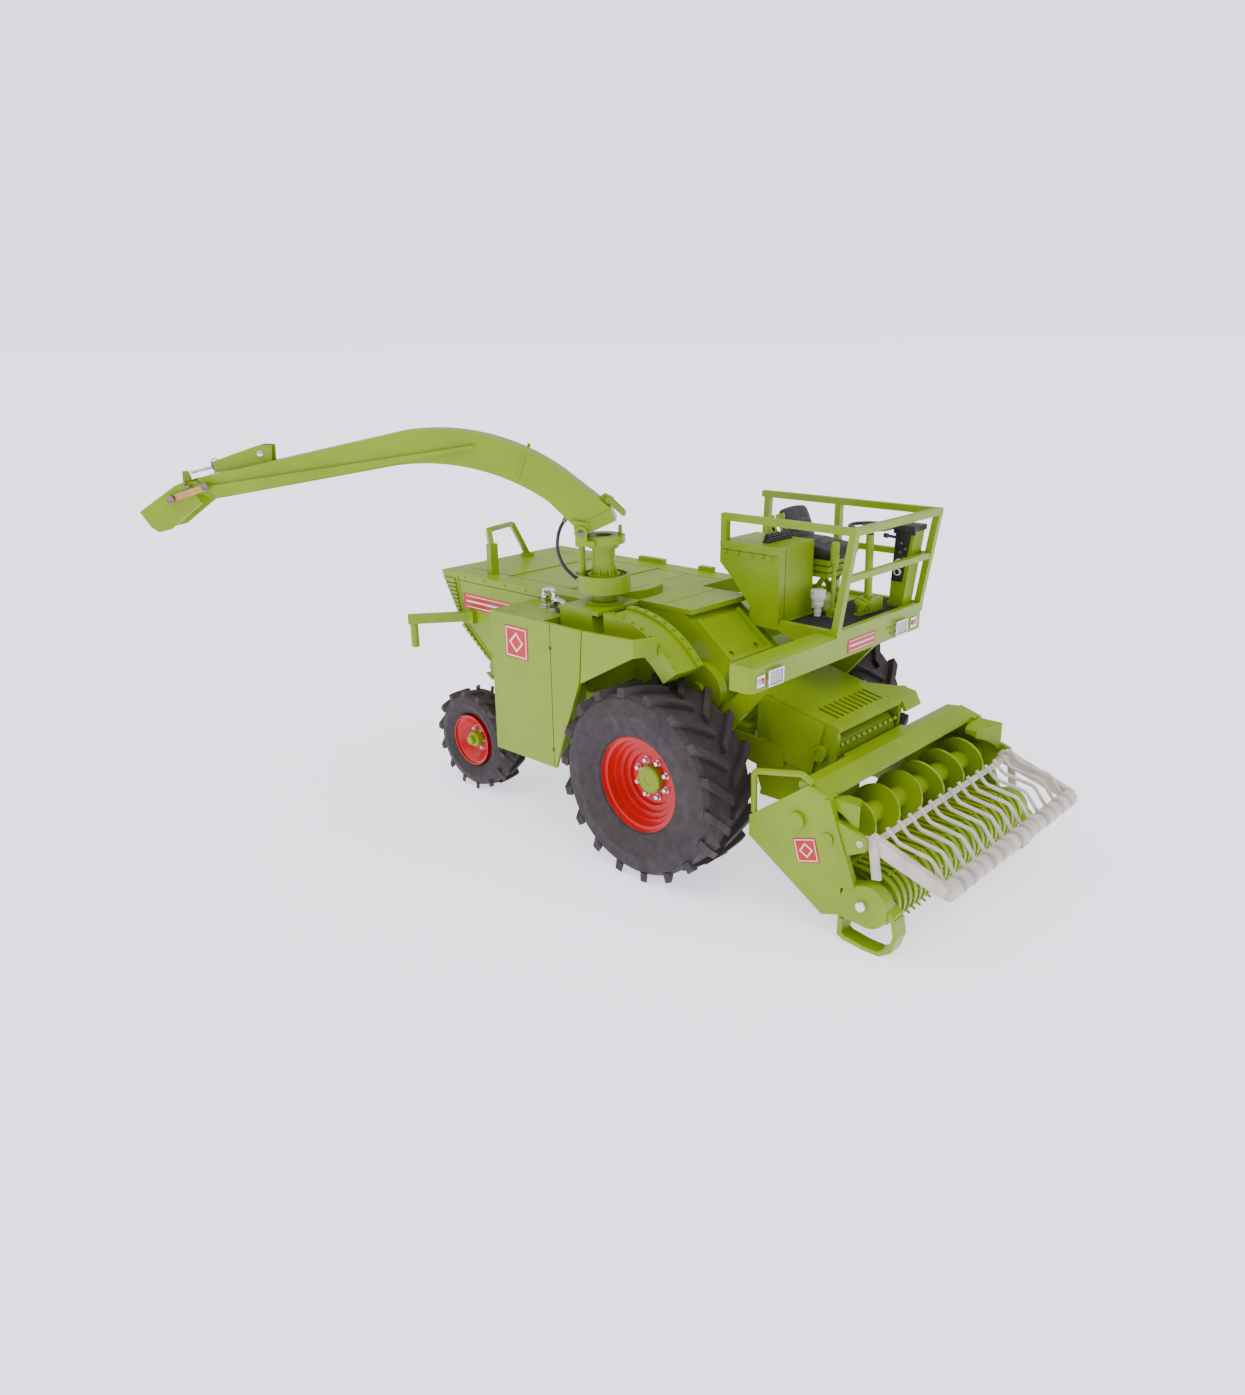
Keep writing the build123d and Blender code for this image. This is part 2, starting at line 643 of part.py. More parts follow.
def instrument_panel():
    """Leaning instrument column at the front left."""
    outline = [(23.6, deck_top), (27.6, deck_top), (30.0, 80.6), (24.4, 80.6)]
    body = slab(outline, 31.4, 36.4)
    foot = block(23.2, 28.0, 31.2, 36.5, deck_top + 0.35, deck_top + 1.4)
    return body + foot - block(20, 32, 30, 38, deck_top - 1, deck_top + 0.35)


def panel_face():
    """Black dial face, top hood and small hand lever of the instrument column."""
    face = slab([(24.1, 67.0), (27.2, 67.0), (28.9, 80.0), (24.9, 80.0)], 30.9, 31.4)
    hood = slab([(23.6, 80.6), (30.4, 80.6), (30.4, 82.0), (23.6, 82.0)], 30.4, 36.8)
    solid = face + hood + block(24.0, 30.2, 30.9, 31.4, 79.6, 80.8)
    for i in range(4):
        x, z = 26.0 + 0.12 * i, 69.6 + 2.6 * i
        solid += across(x, z, 30.5, 30.95, 0.75 if i < 2 else 0.4)
    solid += rod((25.4, 31.0, 78.6), (24.0, 27.6, 79.4), 0.4) + rod((24.1, 27.8, 79.35),
                                                                    (23.7, 26.9, 79.6), 0.65)
    return solid - slab([(23.6, 60), (27.6, 60), (30.0, 80.6), (24.4, 80.6)], 31.4, 36.4)


def seat():
    """Seat pan and back as one upholstered shell."""
    pan = slab([(4.0, 74.6), (17.6, 74.0), (18.6, 75.4), (17.8, 77.4), (6.0, 78.6), (3.0, 77.4)], 12.6,
               25.0)
    back = slab([(3.0, 76.0), (6.4, 77.6), (3.4, 85.0), (0.8, 86.2), (-2.0, 85.2), (-1.2, 81.0)], 13.2,
                24.4)
    solid = pan + back
    return solid


def seat_suspension():
    """Bellows, scissor legs and base plate below the seat."""
    solid = block(6.0, 15.0, 13.8, 23.8, deck_top, deck_top + 0.8)
    for y0 in (14.2, 22.0):
        solid += slab([(6.4, 60.4), (7.8, 60.4), (14.6, 69.4), (13.2, 69.4)], y0, y0 + 1.2)
        solid += slab([(13.2, 60.4), (14.6, 60.4), (7.8, 69.4), (6.4, 69.4)], y0 + 0.1, y0 + 1.1)
    for i in range(3):
        z = 69.2 + 1.75 * i
        solid += block(5.4, 15.6, 13.4, 24.2, z, z + 1.1)
        solid += block(6.0, 15.0, 14.0, 23.6, z + 1.0, z + 1.8)
    return solid - block(0, 20, 10, 26, 73.9, 80)


def steering_column():
    """Column foot, column tube, pedals and floor filter post."""
    z = deck_top
    solid = block(20.4, 24.6, 20.0, 26.6, z + 0.35, z + 4.0)
    solid += rod((22.5, 22.4, z + 3.5), (22.9, 21.0, 80.6), 1.05)
    for y in (15.6, 17.8):
        solid += slab([(23.0, z + 0.35), (24.2, z + 0.35), (25.4, z + 3.4), (22.6, z + 4.4),
                       (22.4, z + 3.8),
                       (24.2, z + 3.0)], y, y + 1.5)
    return solid + block(22.6, 24.4, 15.6, 20.2, z + 0.35, z + 0.9)


def steering_wheel():
    """Steering wheel on its hub, axis upright."""
    x, y, z = 22.9, 21.0, 82.6
    rim = Pos(x, y, z) * Torus(5.3, 0.5)
    hub = upright(x, y, 80.75, z + 0.4, 0.9)
    for i in range(3):
        turn = math.radians(120 * i + 30)
        hub += rod((x, y, z), (x + 5.2 * math.cos(turn), y + 5.2 * math.sin(turn), z), 0.35)
    return rim + hub


def floor_filter():
    """Pale stepped filter bowl on the platform floor."""
    x, y, z = 15.6, 9.4, deck_top + 0.35
    return upright(x, y, z, z + 2.8, 0.9) + upright(x, y, z + 2.6, z + 4.8, 1.4) + upright(x, y,
                                                                                           z + 4.6,
                                                                                           z + 6.8, 1.9)


def hand_lever():
    """Tall hand lever with a thick grip, on a pivot foot."""
    x, y, z = 18.6, 11.6, deck_top
    lever = across(x, z + 1.4, y - 0.75, y + 0.75, 0.95) + rod((x, y, z + 1.4), (x, y, z + 14.0), 0.55)
    return lever + upright(x, y, z + 13.6, z + 19.4, 0.95) - across(x, z + 1.4, y - 2, y + 2,
                                                                    0.4 + running_fit)


def lever_foot():
    """Forked foot with the pin of the tall hand lever."""
    x, y, z = 18.6, 11.6, deck_top + 0.35
    solid = block(x - 1.0, x + 1.0, y - 1.8, y + 1.8, z, z + 0.05)
    for y0 in (y - 1.6, y + 0.9):
        solid += block(x - 0.8, x + 0.8, y0, y0 + 0.7, z, z + 1.8)
    return solid + across(x, deck_top + 1.4, y - 1.5, y + 1.5, 0.4)


# ---- intake and header -----------------------------------------------------------------------
def feed_housing():
    """Feed housing with slotted roof, side walls and lift arms."""
    wall = 1.2
    outer = mouth_half + wall
    sides = [(15.0, 46.0), (38.0, 41.2), (38.4, 38.4), (37.6, 19.4), (30.0, 17.6), (17.0, 18.6),
             (15.0, 24.0)]
    solid = slab(sides, -outer, outer) - slab(sides, -mouth_half, mouth_half)
    roof = slab([(15.0, 46.0), (38.6, 41.1), (38.6, 39.9), (15.0, 44.8)], -outer, outer)
    for i in range(10):
        y = -9.9 + 2.2 * i
        roof -= block(29.6, 35.4, y - 0.55, y + 0.55, 35, 50)
    solid += roof
    solid += block(16.4, 30.0, -outer, outer, 18.0, 19.2)
    solid += block(15.0, 16.2, -outer, outer, 24.0, 45.0)
    for side in (-1, 1):
        y0, y1 = sorted((side * outer, side * (outer + 1.2)))
        arm = slab([(lift_x, lift_z - 0.8), (18.0, 26.0), (24.0, 28.0), (24.0, 33.0),
                    (lift_x, lift_z + 4.0)], y0, y1)
        arm += across(lift_x, lift_z + 1.6, y0, y1, 2.4)
        solid += arm - across(lift_x, lift_z + 1.6, -30, 30, 1.0 + running_fit)
        y2, y3 = sorted((side * outer, side * (outer + 0.9)))
        solid += slab([(17.0, 44.8), (35.0, 41.2), (32.0, 28.0), (21.0, 30.0)], y2, y3)
        for x, z in ((upper_roller_x, upper_roller_z), (lower_roller_x, lower_roller_z)):
            solid += across(x, z, *sorted((side * mouth_half, side * (outer + 1.6))), 2.0)
            solid -= across(x, z, -30, 30, roller_shaft_r + running_fit)
    wing = slab([(27.0, 43.4), (38.4, 41.2), (40.0, 38.0), (39.2, 37.6), (37.8, 40.2), (27.0, 42.4)],
                outer, 22.4)
    wing -= plan([(20.0, 23), (28.0, 15.0), (36.0, 23)], 30, 50)
    return solid + wing


def feed_roller(x, z, radius, teeth):
    """Toothed feed roller with its shaft."""
    length = mouth_half - 0.6
    core = across(x, z, -length, length, radius - 1.3)
    for i in range(teeth):
        turn = 360 / teeth * i
        comb = block(-0.4, 0.4, -length, length, 0, radius)
        for k in range(10):
            y = -length + 1.1 + 2.5 * k
            comb -= block(-1, 1, y, y + 1.2, radius - 0.6, radius + 1)
        core += Pos(x, 0, z) * Rot(0, turn, 0) * comb
    return core + across(x, z, -mouth_half - 2.6, mouth_half + 2.6, roller_shaft_r)


def trough_sheet(radius_in, radius_out):
    """Trough outline round the auger: upright back, then an arc under the auger."""
    cx, cz = auger_x, auger_z
    start, end = 180, 288

    def point(radius, degrees):
        turn = math.radians(degrees)
        return cx + radius * math.cos(turn), 0, cz + radius * math.sin(turn)

    top = 33.6
    edges = Line((cx - radius_in, 0, top), point(radius_in, start))
    edges += ThreePointArc(point(radius_in, start), point(radius_in, (start + end) / 2),
                           point(radius_in, end))
    edges += Line(point(radius_in, end), point(radius_out, end))
    edges += ThreePointArc(point(radius_out, end), point(radius_out, (start + end) / 2),
                           point(radius_out, start))
    edges += Line(point(radius_out, start), (cx - radius_out, 0, top))
    edges += Line((cx - radius_out, 0, top), (cx - radius_in, 0, top))
    return make_face(edges)


def header_trough():
    """Trough, top beam, mounting collar and rear floor of the header."""
    inner = header_half - plate_thick
    sheet_in, sheet_out = auger_r + 1.1, auger_r + 2.1
    trough = Pos(0, -inner, 0) * extrude(trough_sheet(sheet_in, sheet_out), amount=2 * inner,
                                         dir=(0, 1, 0))
    trough -= block(30, auger_x - 5.4, -10.5, 10.5, 19.5, 31.5)
    roller_room = across(upper_roller_x, upper_roller_z, -mouth_half - 3.0, mouth_half + 3.0,
                         upper_roller_r + 0.5)
    trough -= roller_room
    beam = slab([(41.2, 33.6), (41.2, 35.0), (44.6, 35.4), (49.4, 33.9), (49.4, 33.0), (44.4, 33.0)],
                -inner, inner)
    floor = slab([(29.2, 19.2), (29.2, 18.0), (49.0, 5.6), (50.6, 5.45), (50.6, 6.8), (49.2, 7.0)],
                 -inner, inner)
    floor -= block(20, 38.9, -mouth_half - 3.4, mouth_half + 3.4, 0, 30)
    web = block(45.4, 46.6, -inner, inner, 8.6, 17.5)
    collar = block(38.6, auger_x - sheet_out + 0.2, -mouth_half, mouth_half, 17.6, 34.6)
    collar -= block(30, 60, -10.5, 10.5, 19.5, 31.5) + roller_room
    return trough + beam + floor + web + collar


def header_sides():
    """Pair of header side plates with their folded front edge and drive box."""
    y = -header_half
    outline = [(28.7, 23.3), (44.6, 35.3), (50.2, 33.6), (57.6, 14.7), (53.9, 13.3), (54.5, 6.8),
               (49.3, 5.1), (28.7, 18.2)]
    plate = slab(outline, y, y + plate_thick)
    fold = slab([(44.6, 35.3), (50.2, 33.6), (49.6, 32.6), (44.8, 34.1)], y + plate_thick, y + 3.2)
    edge = slab([(50.2, 33.6), (57.6, 14.7), (56.4, 14.3), (49.0, 33.2)], y - 0.4, y)
    box = across(60.6, 11.0, y, y + 3.4, 5.0) + slab([(52.6, 6.6), (60.6, 6.0), (60.6, 16.0),
                                                      (55.0, 14.6)], y, y + 3.4)
    box -= plate
    bore = across(auger_x, auger_z, y - 1, y + 5, 1.5 + running_fit)
    boss = across(42.2, 26.3, y - 0.9, y, 1.9)
    reel_bore = across(pickup_x, pickup_z, y - 1, y + 8, 1.2 + running_fit)
    guard_bore = across(guard_x, guard_z, y - 2, y + 8, 0.8 + running_fit)
    ear = slab([(51.6, 29.2), (guard_x + 1.3, guard_z + 1.4), (guard_x + 1.3, guard_z - 1.6),
                (54.6, 21.4)], y, y + plate_thick)
    right = plate + fold + edge + box + boss + ear - bore - reel_bore - guard_bore
    cone = loft([Plane.XZ.offset(header_half - plate_thick) * Pos(52.6, 29.6) * Rectangle(8.6, 7.6),
                 Plane.XZ.offset(header_half - plate_thick - 6.8) * Pos(51.6, 30.4) * Rectangle(3.2,
                                                                                                3.0)])
    cone -= across(auger_x, auger_z, -40, 40, auger_r + 0.5)
    cone -= across(guard_x, guard_z, -40, 40, 1.6)
    cone -= slab([(41.2, 33.0), (41.2, 36), (49.8, 36), (49.8, 32.9)], -40, 40)
    right += cone
    return right


def header_handle():
    """Bent tube handle behind the right side plate."""
    y = -header_half
    path = FilletPolyline((29.6, y + 0.6, 24.3), (29.3, y + 0.6, 34.4), (42.4, y + 0.6, 37.2),
                          (45.4, y + 0.6, 35.8), radius=1.6)
    return sweep(Plane(origin=path @ 0, z_dir=path % 0) * Circle(0.75), path=path)


def header_skids():
    """Bent strap skids under the header."""
    skids = []
    for side in (-1, 1):
        y0, y1 = sorted((side * (header_half - 0.4), side * (header_half - 4.4)))
        outer = slab([(53.4, 6.5), (53.4, 1.4), (55.0, 0.6), (60.0, 0.0), (64.0, 0.0), (67.0, 2.0),
                      (68.2, 6.0), (67.4, 10.0), (66.4, 9.7), (67.1, 6.0), (66.2, 2.8), (63.6, 1.0),
                      (60.0, 1.0), (55.4, 1.7), (54.6, 2.2), (54.6, 5.6)], y0, y1)
        hanger = slab([(65.2, 9.2), (67.4, 9.2), (67.0, 10.8), (65.2, 12.0)], y0, y1)
        skids.append(outer + hanger)
    return skids


def stripper_bands():
    """Row of curved bands that the tines pass between, on a cross strip."""
    r_out, r_in = band_r, band_r - 0.5
    start, end = -112, 96

    def point(radius, degrees):
        turn = math.radians(degrees)
        return pickup_x + radius * math.cos(turn), 0, pickup_z + radius * math.sin(turn)

    mid = (start + end) / 2
    edges = ThreePointArc(point(r_out, start), point(r_out, mid), point(r_out, end))
    edges += Line(point(r_out, end), point(r_in, end))
    edges += ThreePointArc(point(r_in, end), point(r_in, mid), point(r_in, start))
    edges += Line(point(r_in, start), point(r_out, start))
    pitch = 2 * (header_half - 5.2) / (band_count - 1)
    bands = []
    for i in range(band_count):
        y = -(header_half - 5.2) + pitch * i
        band = Pos(0, y - 0.6, 0) * extrude(make_face(edges), amount=1.2, dir=(0, 1, 0))
        band += block(51.0, 57.3, y - 0.6, y + 0.6, 4.75, 5.3)
        bands.append(band + block(53.6, 58.9, y - 0.6, y + 0.6, 16.86, 17.36))
    half = header_half - 5.0
    strip = block(49.4, 51.6, -half, half, 4.65, 5.45)
    return strip.fuse(*bands)


def auger():
    """Cross auger with opposed flights and shaft ends."""
    x, z = auger_x, auger_z
    half = header_half - plate_thick - 0.5
    solid = across(x, z, -half, half, auger_tube_r)
    pitch = 10.5
    for side in (-1, 1):
        for i in range(3):
            y = side * (5.5 + pitch * i)
            disc = across(x, z, y - 0.35, y + 0.35, auger_r)
            solid += Pos(x, y, z) * Rot(side * 14, 0, 0) * Pos(-x, -y, -z) * disc
    shell = across(x, z, -half, half, auger_r)
    return (solid & shell) + across(x, z, -header_half - 0.3, header_half + 0.3, 1.5)


def tine_drum():
    """Tine reel inside the stripper bands."""
    x, z = pickup_x, pickup_z
    half = header_half - 5.0
    solid = across(x, z, -half, half, 3.2) + across(x, z, -header_half - 0.5, header_half + 0.5, 1.2)
    pitch = 2 * (header_half - 5.2) / (band_count - 1)
    for k in range(4):
        turn = 90 * k + 22
        pins = []
        for i in range(band_count - 1):
            y = -(header_half - 5.2) + pitch * (i + 0.5)
            if abs(y) > half - 0.5:
                continue
            pin = upright(0, y, 2.8, tine_tip_r, 0.3)
            pins.append(Pos(x, 0, z) * Rot(0, turn, 0) * pin)
        solid = solid.fuse(*pins)
    return solid


def wind_guard():
    """Hinged wind guard: side arms, cross tubes, coil bar and curved fingers."""
    arms = []
    for side in (-1, 1):
        y = side * guard_half
        y0, y1 = sorted((y - side * 0.9, y + side * 0.9))
        arms.append(slab([(56.9, 24.2), (59.4, 27.2), (77.6, 20.6), (76.6, 18.0)], y0, y1))
        arms.append(slab([(59.0, 26.8), (61.0, 26.4), (62.6, 17.6), (60.6, 17.2)],
                         *sorted((y + side * 0.9, y + side * 1.7))))
        arms.append(across(guard_x, guard_z, *sorted((y, side * (header_half + 0.2))), 0.8))
    solid = arms[0].fuse(*arms[1:])
    solid += across(60.2, 25.6, -guard_half, guard_half, 0.7)
    solid += across(coil_x, coil_z, -guard_half, guard_half, 1.0)
    pitch = 2 * guard_half / finger_count
    pieces = []
    for i in range(finger_count):
        y = -guard_half + pitch * (i + 0.5)
        pieces.append(across(coil_x, coil_z, y - 1.7, y + 1.3, 2.1))
        path = FilletPolyline((coil_x - 1.4, y, coil_z + 0.8), (72.0, y, 24.4), (64.2, y, 25.6),
                              (61.2, y, 28.4), radius=2.0)
        pieces.append(sweep(Plane(origin=path @ 0, z_dir=path % 0) * Circle(0.45), path=path))
    return solid.fuse(*pieces)


# ---- discharge spout -------------------------------------------------------------------------
def on_tower(shape):
    """Turn a piece drawn straight back along -X about the tower axis to its heading."""
    return Pos(tower_x, tower_y, 0) * Rot(0, 0, spout_heading) * shape


def back(points):
    """Corners given as (distance behind the tower axis, height), as (x, z)."""
    return [(-s, z) for s, z in points]


def spout_side(y0, y1, inset):
    """Side shape of the spout: sloped start, crest arc and long straight tail."""
    def point(s, z):
        return -s, y0, z

    edges = Line(point(-2.1, 89.0), point(9.1, 97.9))
    edges += ThreePointArc(point(9.1, 97.9), point(25.4, 106.2), point(49.5, 108.1))
    edges += Line(point(49.5, 108.1), point(100.5, 97.6))
    edges += Line(point(100.5, 97.6), point(96.0, 92.6))
    edges += Line(point(96.0, 92.6), point(50.3, 100.2))
    edges += ThreePointArc(point(50.3, 100.2), point(30.5, 98.9), point(13.4, 91.0))
    edges += Line(point(13.4, 91.0), point(7.1, 84.7))
    edges += Line(point(7.1, 84.7), point(-2.1, 89.0))
    face = make_face(edges)
    if inset:
        face = offset(face, amount=-inset, kind=Kind.INTERSECTION)
    return extrude(face, amount=y1 - y0, dir=(0, 1, 0))


def spout_duct():
    """Hollow discharge spout with collar, bands, side ribs, cylinder bracket and hinge ears."""
    w = spout_half_w
    solid = spout_side(-w, w, 0)
    void = spout_side(-w + spout_wall, w - spout_wall, spout_wall)
    tail = Pos(-2.2, 0, 0) * void & block(-105, -92, -w, w, 85, 110)
    mouth = Pos(1.0, 0, -1.6) * void & block(-9.5, 4, -w, w, 82, 90)
    collar_outline = back([(-2.1, 89.0), (7.1, 84.7), (5.75, 81.9), (-3.45, 86.1)])
    collar = slab(collar_outline, -w - 0.3, w + 0.3)
    collar -= slab(back([(-1.3, 89.5), (6.4, 85.9), (4.5, 81.0), (-3.2, 84.6)]), -w + spout_wall,
                   w - spout_wall)
    solid = solid - void - tail - mouth + collar
    for side in (-1, 1):
        y0, y1 = sorted((side * w, side * (w + 0.8)))
        solid += slab(back([(31.0, 104.9), (98.3, 95.7), (95.8, 92.8), (31.0, 104.2)]), y0, y1)
        ys = sorted((side * (w + 0.3), side * (w + 1.1)))
        ear = slab(back([(7.4, 86.4), (6.9, 82.6), (4.6, 82.2), (3.2, 85.6)]), *ys)
        solid += ear - across(-hinge_back, hinge_z, -10, 10, hinge_pin_r + running_fit)
        band = slab(back([(18.0, 104.2), (18.7, 104.5), (21.2, 96.6), (20.5, 96.2)]),
                    *sorted((side * w, side * (w + 0.25))))
        solid += band
        plates = slab(back([(82.0, 101.2), (81.8, 105.2), (84.6, 105.4), (96.4, 101.6), (96.8, 98.6)]),
                      *sorted((side * 1.3, side * 1.9)))
        solid += plates
        ys = sorted((side * (w - spout_wall), side * w))
        tail_ear = slab(back([(97.0, 96.0), (102.8, 96.8), (103.7, 95.9), (102.8, 95.0), (97.0, 92.5)]),
                        *ys)
        solid += tail_ear
    solid += across(-flap_back, flap_z, -w - 1.15, w + 1.15, 0.5)
    solid += across(-84.6, 103.2, -2.1, 2.1, 0.45)
    latch_ear = slab(back([(-1.7, 89.0), (1.2, 91.2), (-0.6, 92.4), (-2.8, 91.2)]), -0.9, 0.9)
    solid += latch_ear - across(1.5, 90.8, -10, 10, 0.5 + running_fit)
    solid -= across(-hinge_back, hinge_z, -10, 10, hinge_pin_r + running_fit)
    return solid


def turret():
    """Swinging tower: drum, tube, top ring, hinge ears with pin, stay rod and catch post."""
    drum = upright(0, 0, drum_low, drum_high, drum_r)
    drum -= upright(0, 0, drum_high - 1.4, drum_high + 1, drum_r - 0.9) - upright(0, 0, 60, 90, 4.2)
    solid = drum + upright(0, 0, drum_low, ring_high, tower_tube_r)
    solid += upright(0, 0, ring_low, ring_high, ring_r) + upright(0, 0, ring_low - 1.2, ring_low + 0.1,
                                                                  4.0)
    solid -= upright(0, 0, drum_low - 1, drum_high - 0.85, 2.0 + running_fit)
    solid -= upright(0, 0, drum_high + 1.0, ring_high + 1, 2.2)
    for i in range(8):
        turn = math.radians(45 * i + 10)
        solid += upright(5.0 * math.cos(turn), 5.0 * math.sin(turn), drum_high - 1.5, drum_high - 0.6,
                         0.45)
    s = hinge_back
    for side in (-1, 1):
        ys = sorted((side * 5.3, side * 6.3))
        solid += across(-s, hinge_z, *ys, 1.6) + block(-s - 1.4, -s + 1.6, *ys, ring_low + 0.4, hinge_z)
        solid += block(-s - 1.4, -2.0, *sorted((side * 3.0, side * 6.3)), ring_low, ring_low + 1.3)
    solid += across(-s, hinge_z, -6.2, 6.2, hinge_pin_r)
    solid += upright(-s - 0.2, 0, drum_high - 1, ring_low + 0.6, 0.9)
    solid += block(-s - 1.2, -3.6, -1.6, 1.6, ring_low, ring_low + 1.2)
    solid += upright(4.3, 0, ring_high - 0.2, 84.4, 0.5)
    return solid


def spout_latch():
    """Latch bolt with its handle on the spout's front edge."""
    pin = across(1.5, 90.8, -1.9, 1.9, 0.5)
    solid = pin
    for side in (-1, 1):
        ys = sorted((side * 1.2, side * 1.9))
        solid += across(1.5, 90.8, *ys, 0.9)
        solid += slab(back([(-1.8, 91.6), (-5.9, 87.6), (-5.0, 86.8), (-1.5, 90.1)]), *ys)
    return solid + across(5.3, 87.4, -1.9, 1.9, 0.55)


def end_flap():
    """Deflector flap: open-bottomed hood on the spout's tail."""
    w = spout_half_w + 1.1
    outline = back([(103.6, 96.9), (106.0, 95.9), (115.6, 89.6), (113.1, 85.6), (111.4, 84.5),
                    (108.2, 85.2), (99.6, 91.6), (101.4, 94.9)])
    solid = slab(outline, -w, w)
    solid -= slab(back([(103.0, 95.9), (105.6, 94.9), (114.3, 89.2), (116.0, 80.0), (95.0, 80.0),
                        (95.0, 92.0)]), -w + 0.7, w - 0.7)
    horn = slab(back([(103.4, 96.6), (105.6, 95.8), (105.4, 99.0), (104.2, 99.0)]), -0.5, 0.5)
    solid += horn
    solid -= across(-flap_back, flap_z, -10, 10, 0.5 + running_fit)
    return solid - across(-flap_back, flap_z, -w + 0.7, w - 0.7, 1.35)


def flap_links():
    """Pair of flat links beside the flap with their screw heads."""
    links = []
    for side in (-1, 1):
        y = side * (spout_half_w + 1.35)
        ys = sorted((y, y + side * 0.6))
        heads = sorted((y + side * 0.55, y + side * 1.0))
        link = slab(back([(97.2, 96.7), (97.6, 94.9), (107.2, 91.7), (107.6, 93.5)]), *ys)
        link += across(-97.8, 95.8, *heads, 0.8) + across(-106.7, 92.8, *heads, 0.8)
        links.append(link)
    return links


def flap_cylinder():
    """Barrel of the flap's hydraulic cylinder on the spout."""
    barrel = rod((-86.6, 0, 102.6), (-97.6, 0, 100.0), 0.95)
    barrel -= rod((-90, 0, 101.8), (-98.6, 0, 99.76), 0.4 + running_fit)
    return barrel


def flap_rod():
    """Piston rod of the flap's cylinder."""
    return rod((-92.0, 0, 101.32), (-103.4, 0, 98.63), 0.4)


def spout_hose():
    """Short hydraulic hose looped from the spout down to the tower drum."""
    points = [(9.21, 0, 86.59), (11.3, 0, 83.2), (12.0, 0, 78.6), (10.6, 0, 74.0),
              (drum_r + 0.4, 0, 70.6)]
    points = [(-s, y, z) for s, y, z in points]
    radii = []
    for a, b, c in zip(points, points[1:], points[2:]):
        into, out = Vector(*b) - Vector(*a), Vector(*c) - Vector(*b)
        turn = math.radians(into.get_angle(out))
        radii.append(0.45 * min(into.length, out.length) / math.tan(turn / 2))
    path = FilletPolyline(*points, radius=radii)
    print("hose arc radii", [round(r, 2) for r in radii], "length", round(path.length, 2))
    tube = sweep(Plane(origin=path @ 0, z_dir=path % 0) * Circle(0.45), path=path)
    print("hose volume", round(tube.volume, 3), "section x length",
          round(math.pi * 0.45**2 * path.length, 3))
    return tube


# ---- assembly --------------------------------------------------------------------------------
def build():
    """Make every piece."""
    add("chassis_frame", chassis_frame())
    for name, shape in front_wheel().items():
        add(name + "_right", shape)
        add(name + "_left", mirrored(shape))
    for name, shape in rear_wheel().items():
        add(name + "_right", shape)
        add(name + "_left", mirrored(shape))
    add("rear_axle", rear_axle())
    add("rear_knuckle_right", rear_knuckle())
    add("rear_knuckle_left", mirrored(rear_knuckle()))
    add("engine_hood", engine_hood())
    add("side_grilles", side_grilles())
    add("hood_lid", hood_lid())
    add("blower_housing", blower_housing())
    add("inspection_cover", inspection_cover())
    add("transfer_duct", transfer_duct())
    add("tower_base", tower_base())
    add("side_tank", side_tank())
    add("front_shield", front_shield())
    add("filler_pipes", filler_pipes())
    add("spout_rest", spout_rest())
    add("rear_side_arm", rear_side_arm())
    add("lamp_bar", lamp_bar())
    add("headlamps", headlamps())
    add("indicator_lamps", indicator_lamps())
    add("platform_deck", platform_deck())
    add("floor_mat", floor_mat())
    add("platform_railing", platform_railing())
    add("console_box", console_box())
    add("lever_bank", lever_bank())
    add("instrument_panel", instrument_panel())
    add("panel_face", panel_face())
    add("seat", seat())
    add("seat_suspension", seat_suspension())
    add("steering_column", group(steering_column(), lever_foot()))
    add("steering_wheel", steering_wheel())
    add("floor_filter", floor_filter())
    add("hand_lever", hand_lever())
    add("feed_housing", feed_housing())
    add("upper_feed_roller", feed_roller(upper_roller_x, upper_roller_z, upper_roller_r, 6))
    add("lower_feed_roller", feed_roller(lower_roller_x, lower_roller_z, lower_roller_r, 6))
    add("header_trough", header_trough())
    right = header_sides() - parts["header_trough"]
    add("header_sides", group(right, mirrored(right), header_handle() - right))
    add("header_skids", group(*header_skids()) - parts["header_sides"])
    add("stripper_bands", stripper_bands())
    add("auger", auger())
    add("tine_drum", tine_drum())
    add("wind_guard", wind_guard())
    add("turret", on_tower(turret()))
    add("spout_duct", on_tower(spout_duct()))
    add("spout_latch", on_tower(spout_latch()))
    add("end_flap", on_tower(end_flap()))
    add("flap_links", on_tower(group(*flap_links())))
    add("flap_cylinder", on_tower(flap_cylinder()))
    add("flap_rod", on_tower(flap_rod()))
    add("spout_hose", on_tower(spout_hose()))


def write():
    """Centre the model on its footprint and write one STEP file for each piece."""
    os.makedirs("parts", exist_ok=True)
    boxes = [shape.bounding_box() for shape in parts.values()]
    low = [min(tuple(box.min)[i] for box in boxes) for i in range(3)]
    high = [max(tuple(box.max)[i] for box in boxes) for i in range(3)]
    shift = Pos(-(low[0] + high[0]) / 2, -(low[1] + high[1]) / 2, -low[2])
    print("datum moved by", tuple(shift.position), "low", low, "high", high)
    for name, shape in parts.items():
        export_step(shift * shape, f"parts/{name}.step")


build()
write()
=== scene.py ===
"""Forage harvester scale model: finishes, fittings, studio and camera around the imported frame."""
import json
import math

import bmesh
import bpy
from mathutils import Matrix, Vector


